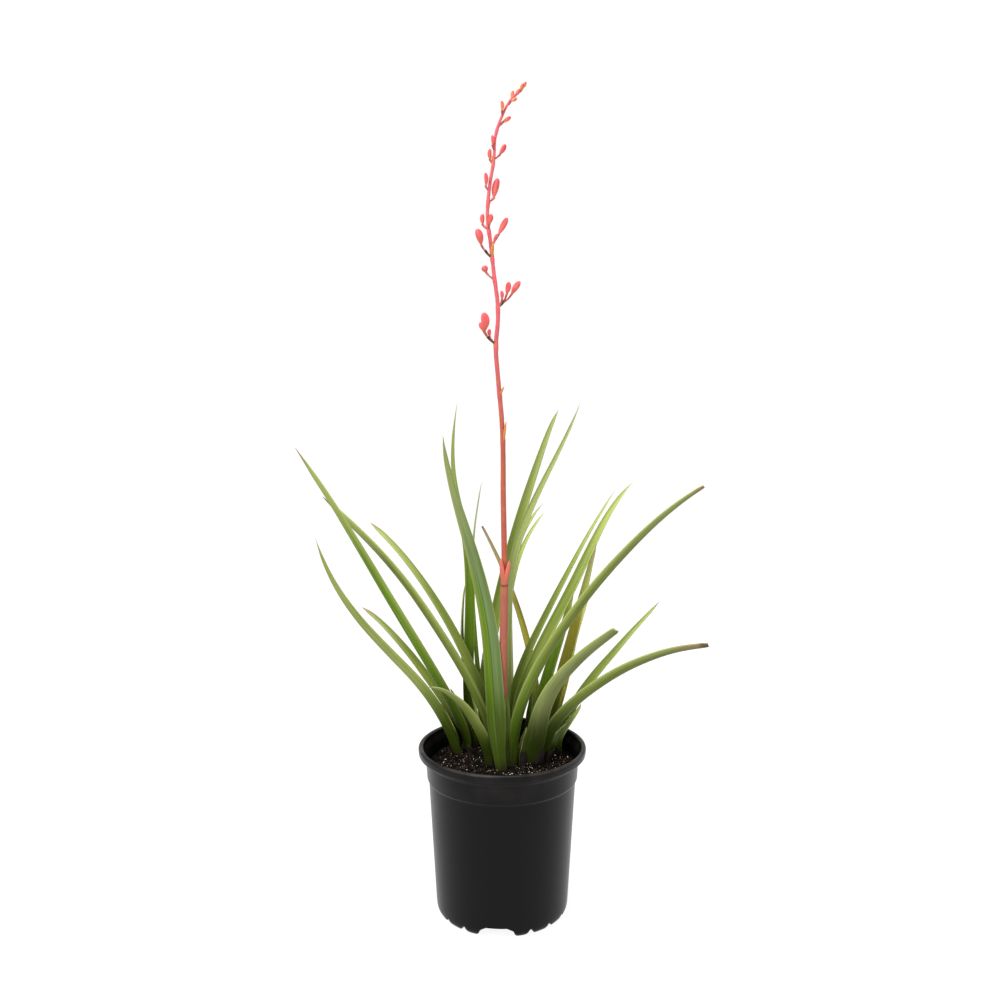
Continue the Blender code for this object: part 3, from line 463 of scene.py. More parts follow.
def leaf_material(leaf, seed):
    """Waxy green that changes from foot to tip, with fine veins, paler margins and a dry tip."""
    sizes = bpy.context.scene.yucca_sizes
    paint = Paint(leaf.name + "_skin")
    along, across, reach, side = [paint.attribute(name) for name in ("along", "across", "reach", "side")]
    at_foot, at_middle, at_tip = leaf.colours
    veins = paint.noise(paint.vector(side * 950.0, reach * 16.0, seed), 1.0, 2.0, 0.6)
    lines = paint.noise(paint.vector(side * 2000.0, reach * 30.0, seed + 7.0), 1.0, 1.0)
    patches = paint.noise(paint.vector(side * 120.0, reach * 30.0, seed + 3.0), 1.0, 3.0)
    streaks = paint.noise(paint.vector(side * 420.0, reach * 8.0, seed + 11.0), 1.0, 2.0)
    paint.base = paint.mix(paint.ease(along + patches * 0.16, 0.10, 0.48), tint(at_foot), tint(at_middle))
    paint.over(paint.ease(along, 0.50, 0.98), tint(at_tip))
    if leaf.name == "leaf_middle_1":
        # Painted light and shade on this folded leaf: one half is painted bright green because it is lit
        # differently from the other half, and painted shade darkens the fold.
        half = paint.ease(across, -0.06, 0.10) * paint.ease(along, 0.66, 0.44)
        paint.over(half, tint("vivid"))
        fold = paint.ease(abs(across - 0.02), 0.10, 0.02) * paint.ease(along, 0.80, 0.50)
        paint.over(fold * 0.5, tint("deep"))
    paint.coat(streaks, 0.55, 0.75, 0.34, tint("lime"))
    paint.coat(streaks, 0.46, 0.28, 0.45, tint("moss"))
    paint.coat(veins, 0.52, 0.80, 0.50, (0.60, 0.66, 0.50, 1.0), "MULTIPLY")
    paint.coat(veins, 0.46, 0.22, 0.30, tint("lime"))
    paint.coat(patches, 0.40, 0.75, 0.30, (0.66, 0.72, 0.62, 1.0), "MULTIPLY")
    # Painted light and shade: the upper half of each blade is painted lighter towards yellow-green as if lit,
    # and the lower half is painted darker towards dark olive green.
    upper = across * (1.0 if leaf.route[-1][0] < leaf.foot[0] else -1.0)
    lit = paint.ease(upper, 0.30, 0.90) * paint.ease(along, 0.15, 0.50)
    paint.over(lit * 0.40, tint("lime"))
    paint.coat(upper, -0.10, -0.90, 0.40, tint("moss"))
    paint.coat(abs(across), 0.84, 0.98, 0.30, tint("margin"))
    # Painted shade: the lower part of each leaf is darkened towards the deepest green, as shade low in the
    # clump.
    low = paint.ease(reach + patches * 0.03, 0.120, 0.025) * paint.ease(along, 0.50, 0.15)
    paint.over(low * 0.88, tint("deep"))
    paint.coat(reach + patches * 0.012, 0.016, 0.003, 0.6, tint("sheath", 0.5))
    if leaf.dry:
        start = 1.0 - leaf.dry
        withered = paint.ease(along + patches * 0.03, start - leaf.dry * 4, start)
        paint.over(withered * 0.6, tint("dry"))
        tip = paint.ease(along + patches * 0.02, start + 0.004, start + 0.024)
        paint.over(tip * 0.85, tint("dry", 0.4))
    roughness = 0.42 + patches * 0.16 + veins * 0.08
    height = veins * 0.7 + lines * 0.3
    normal = paint.bump(height, sizes.vein_depth, 0.9)
    return paint.finish(roughness, normal, specular_ior_level=0.12)


def sheath_material():
    """Dry papery brown with fine fibres."""
    paint = Paint("dry_sheath")
    reach = paint.attribute("reach")
    side = paint.attribute("side")
    fibres = paint.noise(paint.vector(side * 1900.0, reach * 40.0, 2.0), 1.0, 3.0, 0.6)
    patches = paint.noise(paint.place(), 160.0, 3.0)
    paint.base = paint.mix(paint.ease(fibres, 0.35, 0.70), tint("sheath", 0.45), tint("sheath"))
    paint.coat(patches, 0.50, 0.68, 0.4, tint("bark", 2.0))
    return paint.finish(0.75, paint.bump(fibres, 0.0003), specular_ior_level=0.25)


def thread_material():
    paint = Paint("margin_thread")
    patches = paint.noise(paint.place(), 400.0)
    paint.base = paint.mix(patches, tint("thread"), tint("thread", 0.7))
    return paint.finish(0.6)


def stalk_material():
    """Salmon below the first node, orange-brown above it and coral towards the top, with fine grooves."""
    paint = Paint("stalk_skin")
    place = paint.place()
    height = paint.part_of(place, 2)
    paint.base = paint.mix(paint.ease(height, NODE_HEIGHT - 0.004, NODE_HEIGHT + 0.02), tint("stalk_low"),
                           tint("stalk_middle"))
    paint.over(paint.ease(height, 0.44, 0.62), tint("stalk_high"))
    stretch = paint.vector(paint.part_of(place, 0) * 2600.0, paint.part_of(place, 1) * 2600.0, height * 45.0)
    grooves = paint.noise(stretch, 1.0, 2.0, 0.6)
    patches = paint.noise(place, 90.0, 3.0)
    paint.coat(grooves, 0.45, 0.75, 0.5, (0.55, 0.50, 0.48, 1.0), "MULTIPLY")
    paint.coat(patches, 0.50, 0.72, 0.35, tint("bract"))
    collar = paint.ease(abs(height - NODE_HEIGHT), 0.0022, 0.0004)
    paint.over(collar * 0.7, tint("stalk_low", 0.35))
    return paint.finish(0.42 + patches * 0.15, paint.bump(grooves, 0.00025), specular_ior_level=0.2)


def bud_material():
    """Coral with darker tips; the youngest buds at the top are orange-yellow."""
    paint = Paint("bud_skin")
    along = paint.attribute("along")
    height = paint.part_of(paint.place(), 2)
    paint.base = paint.mix(paint.ease(along, 0.15, 0.95), tint("bud_base"), tint("bud_tip"))
    young = paint.ease(height, 0.752, 0.776) * paint.ease(along, 1.0, 0.35)
    paint.over(young * 0.75, tint("bud_gold"))
    mottle = paint.noise(paint.place(), 700.0, 2.0)
    paint.coat(mottle, 0.45, 0.75, 0.35, (0.66, 0.55, 0.60, 1.0), "MULTIPLY")
    # Painted highlight: the three ridges of each bud are painted lighter, as if they caught the light.
    ridge = paint.ease(paint.attribute("ridge"), 0.55, 1.0)
    paint.over(ridge * 0.35, tint("bud_base", 1.35))
    return paint.finish(0.38 + mottle * 0.12, paint.bump(mottle, 0.00012), specular_ior_level=0.2)


def bract_material():
    """Papery orange and pink with darker fibres."""
    paint = Paint("bract_skin")
    along = paint.attribute("along")
    side = paint.attribute("side")
    fibres = paint.noise(paint.vector(side * 3000.0, along * 3.0, 5.0), 1.0, 2.0)
    paint.base = paint.mix(along, tint("bract"), tint("bud_gold"))
    low = paint.ease(paint.part_of(paint.place(), 2), 0.40, 0.36)
    paint.over(low * (0.45 + 0.30 * along), tint("stalk_high"))
    paint.coat(fibres, 0.45, 0.7, 0.45, tint("stalk_low", 0.6))
    return paint.finish(0.55, paint.bump(fibres, 0.0002), specular_ior_level=0.2)


def stem_material(name, light, dark):
    paint = Paint(name)
    patches = paint.noise(paint.place(), 350.0, 3.0)
    paint.base = paint.mix(paint.ease(patches, 0.35, 0.65), light, dark)
    return paint.finish(0.5, paint.bump(patches, 0.0002), specular_ior_level=0.2)


def soil_material():
    """Wet dark potting mix with red-brown fibres."""
    paint = Paint("potting_mix")
    place = paint.place()
    coarse = paint.noise(place, 260.0, 4.0, 0.65)
    fine = paint.noise(place, 900.0, 3.0, 0.6)
    paint.base = paint.mix(paint.ease(coarse, 0.52, 0.74) * 0.6, tint("soil"), tint("bark", 0.5))
    paint.coat(fine, 0.64, 0.76, 0.7, tint("bark"))
    return paint.finish(0.95, paint.bump(coarse * 0.6 + fine * 0.4, 0.0012), specular_ior_level=0.05)


def grain_material(name, light, dark, roughness):
    """Grains of mixed shades: each has its own shade in the attribute grain."""
    paint = Paint(name)
    fine = paint.noise(paint.place(), 1400.0, 3.0, 0.6)
    paint.base = paint.mix(paint.attribute("grain"), dark, light)
    paint.coat(fine, 0.45, 0.75, 0.45, (0.5, 0.46, 0.44, 1.0), "MULTIPLY")
    return paint.finish(roughness, paint.bump(fine, 0.0004), specular_ior_level=0.15)


def pot_material():
    """Thin black plastic: a satin skin, dusty upper steps, and a rim lightened by fine scuffs and a painted
    highlight.
    """
    paint = Paint("pot_plastic_skin")
    place = paint.place()
    height = paint.part_of(place, 2)
    haze = paint.noise(place, 28.0, 3.0)
    speckle = paint.noise(place, 900.0, 2.0)
    round_lines = paint.noise(paint.vector(paint.part_of(place, 0) * 14.0, paint.part_of(place, 1) * 14.0,
                                           height * 900.0), 1.0, 2.0)
    rim = paint.ease(height, POT_HEIGHT - 0.0022, POT_HEIGHT - 0.0004)
    collar = paint.ease(height, COLLAR_BOTTOM - 0.002, COLLAR_BOTTOM + 0.006)
    paint.base = paint.mix(collar * paint.ease(haze, 0.35, 0.75) * 0.22, tint("plastic"), tint("dust_and_sheen"))
    # Dust specks, denser on the rim; the rim is also painted lighter, partly dusty scuffs and partly a
    # painted highlight.
    paint.over(paint.ease(speckle, 0.62, 0.80) * (0.06 + 0.30 * rim), tint("dust_and_sheen", 2.0))
    paint.over(rim * paint.ease(haze, 0.30, 0.70) * 0.45, tint("dust_and_sheen", 1.2))
    roughness = 0.24 + haze * 0.08 + rim * 0.1 + round_lines * 0.05
    normal = paint.bump(speckle * 0.3 + round_lines * 0.7, 0.00006, 0.8)
    return paint.finish(roughness, normal, specular_ior_level=0.13)


def floor_material():
    """White with a glow of its own, so that it stays even and takes only a faint shadow."""
    paint = Paint("floor_paint")
    paint.base = tint("floor", 0.14)
    return paint.finish(0.9, specular_ior_level=0.0, emission_color=tint("floor"), emission_strength=0.945)


# Placing and collecting
def new_object(name, bm, material, smooth_degrees=50):
    mesh = bpy.data.meshes.new(name)
    bm.to_mesh(mesh)
    bm.free()
    mesh.materials.append(material)
    mesh.shade_smooth()
    mesh.set_sharp_from_angle(angle=math.radians(smooth_degrees))
    obj = bpy.data.objects.new(name, mesh)
    bpy.context.scene.collection.objects.link(obj)
    return obj


def vertex_values(bm, *names):
    """New values on the vertices, one layer for each name."""
    return [bm.verts.layers.float.new(name) for name in names]


def belong(obj, slot, *nodes):
    """Makes the object a piece of the plant or pot: it rides on the root body and hides the nodes it
    replaces. The slot is not used.
    """
    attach(obj, BODY)
    if nodes:
        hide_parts(*nodes)


def smooth(t):
    t = min(max(t, 0.0), 1.0)
    return t * t * (3 - 2 * t)


def aimed(base, tip):
    """Matrix that puts +Z along the way from base to tip, with its origin at base."""
    way = Vector(tip) - Vector(base)
    return Matrix.Translation(Vector(base)) @ way.to_track_quat("Z", "Y").to_matrix().to_4x4()


# Pot
def pot_profile():
    """Radius and height, from the floor's middle up the inside, over the rim and down the outside."""
    top = POT_HEIGHT
    skirt = top - RIM_SKIRT
    lip_inner = RIM_RADIUS - LIP_WIDTH
    body_slope = (BODY_RADIUS - FOOT_RADIUS) / (COLLAR_BOTTOM - FOOT_TOP)
    wall_at_floor = FOOT_RADIUS + body_slope * (FLOOR_TOP - FOOT_TOP)
    return (
        (0.0, FLOOR_TOP),
        (wall_at_floor - WALL, FLOOR_TOP),
        (BODY_RADIUS - WALL, COLLAR_BOTTOM - 0.002),
        (COLLAR_RADIUS - WALL - 0.0012, COLLAR_BOTTOM + 0.002),
        (COLLAR_RADIUS - WALL, skirt - 0.003),
        (lip_inner, top - 0.0045),
        (lip_inner + 0.0002, top - 0.0012),
        (lip_inner + 0.0014, top),
        (RIM_RADIUS - 0.0016, top),
        (RIM_RADIUS - 0.0003, top - 0.0010),
        (RIM_RADIUS, top - 0.0026),
        (RIM_RADIUS - 0.0004, skirt + 0.0003),
        (RIM_RADIUS - 0.0016, skirt),
        (COLLAR_RADIUS + 0.0028, skirt + 0.0006),
        (COLLAR_RADIUS + 0.0026, skirt - 0.0030),
        (COLLAR_RADIUS, skirt - 0.0046),
        (COLLAR_RADIUS - 0.0011, COLLAR_BOTTOM + 0.0005),
        (BODY_RADIUS, COLLAR_BOTTOM - 0.0010),
        (FOOT_RADIUS + 0.0003, 0.0120),
        (FOOT_RADIUS + 0.0001, 0.0095),
        (FOOT_RADIUS, FOOT_TOP),
        (FOOT_RADIUS - 0.0003, 0.0060),
        (FOOT_RADIUS - 0.0007, 0.0040),
        (FOOT_RADIUS - 0.0022, 0.0014),
        (FOOT_FLAT_OUTER, 0.0),
        (FOOT_FLAT_INNER, 0.0),
        (FOOT_FLAT_INNER - 0.0008, FLOOR_UNDERSIDE),
        (0.0, FLOOR_UNDERSIDE),
    )


def rounded(profile, radius, steps=3):
    """The profile with each bend, apart from those on the axis, eased into a short curve."""
    points = [Vector(point) for point in profile]
    eased = [points[0]]
    for before, here, after in zip(points, points[1:], points[2:]):
        reach_in = min(radius, (here - before).length * 0.45)
        reach_out = min(radius, (after - here).length * 0.45)
        start = here + (before - here).normalized() * reach_in
        end = here + (after - here).normalized() * reach_out
        for k in range(steps + 1):
            t = k / steps
            eased.append(start * (1 - t) ** 2 + here * 2 * t * (1 - t) + end * t ** 2)
    eased.append(points[-1])
    return eased


def turned(profile, steps):
    """A round shape spun from a profile of radius and height."""
    bm = bmesh.new()
    verts = [bm.verts.new((radius, 0.0, height)) for radius, height in profile]
    edges = [bm.edges.new(pair) for pair in zip(verts, verts[1:])]
    bmesh.ops.spin(bm, geom=verts + edges, cent=(0, 0, 0), axis=(0, 0, 1), angle=math.tau, steps=steps,
                   use_merge=True)
    bmesh.ops.remove_doubles(bm, verts=bm.verts, dist=0.000005)
    bmesh.ops.recalc_face_normals(bm, faces=bm.faces)
    return bm


def foot_line(bearing):
    """Height of the foot's lower edge at a bearing in degrees: drain gaps, and notches between round lugs."""
    step = 360 / FOOT_PLACES
    place = ((bearing - GAP_BEARING) / step) % FOOT_PLACES
    metres = math.radians(step) * FOOT_FLAT_OUTER
    from_gap = abs((place + GAP_EVERY / 2) % GAP_EVERY - GAP_EVERY / 2) * metres
    into_lug = from_gap - GAP_BOTTOM_WIDTH / 2
    if into_lug < 0:
        slope = (GAP_BOTTOM_WIDTH - GAP_TOP_WIDTH) / 2
        return LUG_RISE + min(-into_lug / slope, 1.0) * (GAP_HEIGHT - LUG_RISE)
    nearest = round(place - 0.5) + 0.5
    if nearest % GAP_EVERY not in (0.5, GAP_EVERY - 0.5):
        from_notch = abs(place - nearest) * metres - NOTCH_WIDTH / 2
        if from_notch < 0:
            return NOTCH_HEIGHT
        into_lug = min(into_lug, from_notch)
    short = max(0.0, 1 - into_lug / LUG_ROUND)
    return min(LUG_RISE * (1 - math.sqrt(1 - short ** 2)), GAP_HEIGHT)


def cut_foot(bm):
    """Raises the foot's lower edge to its drain gaps and notches."""
    for vert in bm.verts:
        radius = math.hypot(vert.co.x, vert.co.y)
        if radius > FOOT_FLAT_INNER - 0.0009 and vert.co.z < GAP_HEIGHT:
            line = foot_line(math.degrees(math.atan2(vert.co.y, vert.co.x)))
            vert.co.z = max(vert.co.z, line)


def make_pot():
    sizes = bpy.context.scene.yucca_sizes
    bm = turned(rounded(pot_profile(), 0.0011), sizes.pot_steps)
    cut_foot(bm)
    pot = new_object("nursery_pot", bm, pot_material(), 40)
    belong(pot, "pot_plastic", "pot")


# Potting mix
def soil_height(x, y):
    """The surface of the mix: low heaps and dips, then crumbs."""
    wave = math.sin(x * 190 + 1.3) * math.cos(y * 160 - 0.4) + 0.6 * math.sin(x * 310 - y * 270 + 2.1)
    heaps = noise.noise(Vector((x * 90, y * 90, 0.0))) * 0.0008
    crumbs = noise.fractal(Vector((x * 420, y * 420, 3.0)), 0.8, 2.1, 3) * 0.0007
    return SOIL_LEVEL + SOIL_RELIEF * wave / 1.6 + heaps + crumbs


def make_soil():
    sizes = bpy.context.scene.yucca_sizes
    surface = [(SOIL_RADIUS * ring / sizes.soil_rings, SOIL_LEVEL) for ring in range(sizes.soil_rings + 1)]
    wall = ((SOIL_RADIUS - 0.0022, COLLAR_BOTTOM - 0.002), (FOOT_RADIUS - WALL - 0.0003, SOIL_FLOOR))
    bm = turned([*surface, *wall, (0.0, SOIL_FLOOR)], sizes.soil_steps)
    for vert in bm.verts:
        if vert.co.z > SOIL_LEVEL - 0.001:
            vert.co.z = soil_height(vert.co.x, vert.co.y)
    soil = new_object("potting_mix_surface", bm, soil_material(), 80)
    belong(soil, "potting_soil", "soil")


def grain_place(rng, bias):
    """A place on the mix. The bias draws grains towards the front rim, where the photo shows most of them."""
    while True:
        x = rng.uniform(-1, 1) * (SOIL_RADIUS - 0.003)
        y = rng.uniform(-1, 1) * (SOIL_RADIUS - 0.003)
        keep = 1 - bias * smooth((y + 0.04) / 0.08)
        if math.hypot(x, y) < SOIL_RADIUS - 0.003 and rng.random() < keep:
            return x, y


def scatter(name, count, smallest, largest, flatness, detail, material, slot, seed, bias=0.5):
    """Strews irregular grains over the mix, each with its own size, turn and shade."""
    rng = random.Random(seed)
    bm = bmesh.new()
    shade, = vertex_values(bm, "grain")
    for _ in range(count):
        x, y = grain_place(rng, bias)
        size = smallest + (largest - smallest) * rng.random() ** 2.5
        turn = Matrix.Rotation(rng.uniform(0, math.tau), 4, "Z")
        turn = turn @ Matrix.Rotation(rng.uniform(-0.6, 0.6), 4, "X")
        stretch = Matrix.Diagonal((size * rng.uniform(0.7, 1.5), size * rng.uniform(0.6, 1.0),
                                   size * flatness * rng.uniform(0.7, 1.2), 1.0))
        place = Matrix.Translation((x, y, soil_height(x, y) + size * flatness * 0.25))
        made = bmesh.ops.create_icosphere(bm, subdivisions=detail, radius=0.5,
                                          matrix=place @ turn @ stretch)
        own = rng.random()
        for vert in made["verts"]:
            vert.co += noise.noise_vector(vert.co * (1.8 / size)) * size * 0.22
            vert[shade] = own
    obj = new_object(name, bm, material, 25)
    belong(obj, slot)


def make_grains():
    sizes = bpy.context.scene.yucca_sizes
    bark = grain_material("bark_crumb_skin", tint("bark", 0.9), tint("soil"), 0.9)
    chips = grain_material("pale_chip_skin", tint("chip"), tint("bark", 1.2), 0.85)
    perlite = grain_material("perlite_skin", tint("perlite"), tint("perlite", 0.55), 0.9)
    scatter("bark_crumbs", sizes.crumbs, 0.0008, 0.0042, 0.55, 1, bark, "potting_soil", 11, 0.1)
    scatter("pale_chips", sizes.chips, 0.0005, 0.0020, 0.5, 1, chips, "potting_soil", 12, 0.4)
    scatter("perlite_grains", sizes.perlite, 0.0004, 0.0016, 0.8, 1, perlite, "potting_soil", 13, 0.5)


# Leaves
def on_route(points, t):
    """Point at t from 0 to 1 on the one smooth curve through points at even steps."""
    last = len(points) - 1
    row = [Vector(point) for point in points]
    for span in range(1, last + 1):
        for k in range(last + 1 - span):
            lower = k / last
            upper = (k + span) / last
            row[k] = ((upper - t) * row[k] + (t - lower) * row[k + 1]) / (upper - lower)
    return row[0]


def rib_points(leaf):
    return [(leaf.foot[0], leaf.foot[1], ROUTE_START), *leaf.route]


def rib_direction(leaf, t):
    points = rib_points(leaf)
    step = 0.01
    return (on_route(points, t + step) - on_route(points, t - step)).normalized()


def lateral(leaf, t):
    """Direction across the blade: level, square to the way the leaf heads, then turned about its rib."""
    heading = Vector(leaf.route[-1]) - Vector((*leaf.foot, 0.0))
    level = Vector((-heading.y, heading.x, 0.0)).normalized()
    direction = rib_direction(leaf, t) if t > 0 else Vector((0.0, 0.0, 1.0))
    across = (level - direction * level.dot(direction)).normalized()
    turn = math.radians(leaf.turn[0] + (leaf.turn[1] - leaf.turn[0]) * t)
    return Matrix.Rotation(turn, 3, direction) @ across


def inward(leaf, t):
    """Direction out of the channelled face."""
    direction = rib_direction(leaf, t) if t > 0 else Vector((0.0, 0.0, 1.0))
    return direction.cross(lateral(leaf, t)).normalized()


def leaf_length(leaf):
    points = rib_points(leaf)
    places = [on_route(points, k / 20) for k in range(21)]
    return sum((b - a).length for a, b in zip(places, places[1:]))


def blade_width(leaf, t):
    neck, widest = leaf.widths
    full = widest * (leaf.tip + (1 - leaf.tip) * (1 - t ** leaf.taper))
    width = neck + (full - neck) * smooth(t / FLARE_SHARE)
    if leaf.blunt:
        return width * (1 - 0.25 * smooth((t - 0.985) / 0.015))
    return width * min(1.0, (1.0005 - t) / POINT_SHARE) ** 0.7


Section = namedtuple("Section", "centre across face width channel rib")


def section_at(leaf, t, seed):
    """What the blade's cross section at t is made from."""
    across = lateral(leaf, t)
    face = inward(leaf, t)
    width = blade_width(leaf, t)
    share = CHANNEL_AT_FOOT + (CHANNEL_AT_TIP - CHANNEL_AT_FOOT) * t
    channel = width * share * smooth(t / FLARE_SHARE)
    rib = RIB_THICKNESS + (RIB_TIP_THICKNESS - RIB_THICKNESS) * t
    wobble = noise.noise_vector(Vector((t * 5.0, seed * 3.7, 0.0))) * WOBBLE * smooth(t * 3)
    centre = on_route(rib_points(leaf), t) - face * (channel / 2) + wobble
    if not leaf.blunt:
        rib *= 0.25 + 0.75 * min(1.0, (1 - t) / POINT_SHARE)
    return Section(centre, across, face, width, channel, rib)


def blade_point(section, u, outer):
    point = section.centre + section.across * (u * section.width / 2)
    point += section.face * (section.channel * u * u)
    if outer:
        margin = MARGIN_THICKNESS * min(1.0, section.rib / RIB_TIP_THICKNESS)
        point -= section.face * (margin + (section.rib - margin) * (1 - u * u))
    return point


def blade_mesh(leaf, seed):
    """A grid bent into the blade's channel, then given a back, from under the soil to the tip."""
    sizes = bpy.context.scene.yucca_sizes
    length = leaf_length(leaf)
    rows = max(12, round((length + SUNK) / sizes.leaf_step))
    start = -SUNK / length
    bm = bmesh.new()
    bmesh.ops.create_grid(bm, x_segments=sizes.leaf_across, y_segments=rows, size=1.0)
    along, across, reach, side = vertex_values(bm, "along", "across", "reach", "side")
    for vert in bm.verts:
        vert[along] = start + (1 - start) * (vert.co.y + 1) / 2
        vert[across] = vert.co.x
    back = bmesh.ops.extrude_face_region(bm, geom=bm.faces[:])["geom"]
    outer = {vert for vert in back if isinstance(vert, bmesh.types.BMVert)}
    sections = {}
    for vert in bm.verts:
        place = round(vert[along], 5)
        if place not in sections:
            sections[place] = section_at(leaf, max(place, 0.0), seed)
        section = sections[place]
        drop = Vector((0.0, 0.0, min(place, 0.0) * length))
        vert.co = blade_point(section, vert[across], vert in outer) + drop
        vert[reach] = place * length
        vert[side] = vert[across] * section.width / 2
    bmesh.ops.recalc_face_normals(bm, faces=bm.faces)
    return bm


def make_leaves():
    for seed, leaf in enumerate(LEAVES, 1):
        bm = blade_mesh(leaf, seed)
        obj = new_object(leaf.name.replace("leaf", "blade"), bm, leaf_material(leaf, float(seed)), 60)
        belong(obj, SLOT_OF_LEAF[leaf.name], leaf.name)


# Dry sheaths at the feet of the rosettes
def sheath(name, foot, lean, height, width, turn):
    """A short broad scale, told as a small leaf: lean is how far its tip lies from its foot."""
    tip = (foot[0] + lean[0], foot[1] + lean[1], SOIL_LEVEL + height)
    middle = (foot[0] + lean[0] * 0.35, foot[1] + lean[1] * 0.35, SOIL_LEVEL + height * 0.55)
    return Leaf(name, foot, (middle, tip), (width * 0.8, width), (turn, turn), 0.15, 1.6, None)


SHEATHS = (
    sheath("sheath_1", (0.0365, -0.001), (0.004, -0.004), 0.021, 0.011, -20),
    sheath("sheath_2", (0.046, 0.008), (0.006, -0.003), 0.013, 0.009, -10),
    sheath("sheath_3", (0.020, -0.004), (0.001, -0.004), 0.016, 0.008, -15),
    sheath("sheath_4", (-0.031, 0.022), (-0.003, -0.004), 0.011, 0.008, 20),
    sheath("sheath_5", (-0.050, 0.036), (-0.005, 0.004), 0.013, 0.008, -10),
    sheath("sheath_6", (0.057, 0.036), (0.005, 0.005), 0.013, 0.008, 10),
)


# Young blades low in the rosettes, told as the leaves are
def young(name, foot, tip, width, turn, colours):
    middle = (foot[0] * 0.55 + tip[0] * 0.45, foot[1] * 0.55 + tip[1] * 0.45, SOIL_LEVEL * 0.4 + tip[2] * 0.6)
    return Leaf(name, foot, (middle, tip), (width * 0.8, width), (turn, turn), 0.12, 2.2, colours)


YOUNG = (
    young("young_1", (-0.029, 0.043), (-0.053, 0.041, 0.213), 0.012, 15, ("deep", "moss", "olive")),
    young("young_2", (-0.019, 0.030), (-0.033, 0.028, 0.219), 0.011, 0, ("deep", "moss", "moss")),
    young("young_3", (-0.0112, 0.0335), (-0.015, 0.037, 0.249), 0.010, 10, ("deep", "deep", "moss")),
    young("young_4", (0.006, 0.033), (0.014, 0.034, 0.212), 0.009, -10, ("deep", "moss", "moss")),
    young("young_5", (0.0155, -0.003), (0.024, 0.002, 0.186), 0.009, -20, ("deep", "shade", "shade")),
    young("young_6", (0.042, 0.052), (0.057, 0.056, 0.204), 0.010, 10, ("deep", "moss", "olive")),
    young("young_7", (-0.043, 0.050), (-0.064, 0.056, 0.192), 0.009, 10, ("deep", "moss", "moss")),
    young("young_8", (0.026, 0.052), (0.032, 0.062, 0.207), 0.009, -15, ("deep", "moss", "moss")),
    young("young_9", (0.0050, -0.0125), (0.0045, -0.0095, 0.222), 0.009, 5, ("deep", "moss", "moss")),
)


def make_young():
    for seed, leaf in enumerate(YOUNG, 60):
        bm = blade_mesh(leaf, seed)
        belong(new_object(leaf.name, bm, leaf_material(leaf, float(seed)), 60), "leaf_dark")


def make_sheaths():
    material = sheath_material()
    for seed, scale in enumerate(SHEATHS, 40):
        bm = blade_mesh(scale, seed)
        belong(new_object(scale.name, bm, material, 60), "leaf_dark")


# Curly threads
THREAD_RADIUS = 0.00007


def thread_points(leaf, t, u, rng, seed):
    """A thread that peels off a margin and curls."""
    section = section_at(leaf, t, seed)
    start = blade_point(section, u * 0.98, False)
    out = (section.across * u + section.face * rng.uniform(-0.2, 0.6)).normalized()
    way = rib_direction(leaf, t) * rng.choice((-1, 1))
    curl = rng.uniform(0.0010, 0.0022)
    pitch = rng.uniform(0.45, 0.75)
    steps = rng.randint(9, 16)
    points = []
    for k in range(steps):
        angle = k * pitch
        grow = min(1.0, k / 4)
        swing = (way * math.sin(angle) + out * (1 - math.cos(angle)) * 0.8) * curl * grow
        points.append(start + out * (0.00025 * k) + swing + Vector((0, 0, 0.0001 * k)))
    return points


def make_threads():
    """Curly threads here and there on the margins."""
    sizes = bpy.context.scene.yucca_sizes
    rng = random.Random(5)
    threads = []
    for seed, leaf in enumerate(LEAVES, 1):
        for _ in range(sizes.threads):
            points = thread_points(leaf, rng.uniform(0.2, 0.9), rng.choice((-1, 1)), rng, seed)
            threads.append([(point, THREAD_RADIUS) for point in points])
    bm = tube("margin_threads", threads, 2, 1)
    belong(new_object("margin_threads", bm, thread_material(), 60), "leaf_tawny")


# Flower stalk
def tube(name, splines, resolution, sides):
    """A smooth tube along each list of points with radii, made a mesh."""
    curve = bpy.data.curves.new(name, "CURVE")
    curve.dimensions = "3D"
    curve.bevel_depth = 1.0
    curve.bevel_resolution = sides
    curve.resolution_u = resolution
    curve.use_fill_caps = True
    for points in splines:
        spline = curve.splines.new("BEZIER")
        spline.bezier_points.add(len(points) - 1)
        for knot, (place, radius) in zip(spline.bezier_points, points):
            knot.co = place
            knot.radius = radius
            knot.handle_left_type = "AUTO"
            knot.handle_right_type = "AUTO"
    holder = bpy.data.objects.new(name, curve)
    bpy.context.scene.collection.objects.link(holder)
    bpy.context.view_layer.update()
    graph = bpy.context.evaluated_depsgraph_get()
    mesh = bpy.data.meshes.new_from_object(holder.evaluated_get(graph))
    bm = bmesh.new()
    bm.from_mesh(mesh)
    bpy.data.objects.remove(holder, do_unlink=True)
    bmesh.ops.remove_doubles(bm, verts=bm.verts, dist=0.000001)
    bmesh.ops.recalc_face_normals(bm, faces=bm.faces)
    return bm


def make_stalk():
    bm = tube("flower_stalk", [STALK], 14, 6)
    swelling = [Vector(base) for base, tip, width in BRACTS]
    for vert in bm.verts:
        near = min((vert.co - place).length for place in swelling)
        push = 0.0004 * smooth(1 - near / 0.006)
        vert.co += vert.normal * push
        vert.co += vert.normal * noise.noise(vert.co * 260) * 0.00012
    stalk = new_object("flower_stalk", bm, stalk_material(), 60)
    belong(stalk, "flower_spike", "flower_spike")


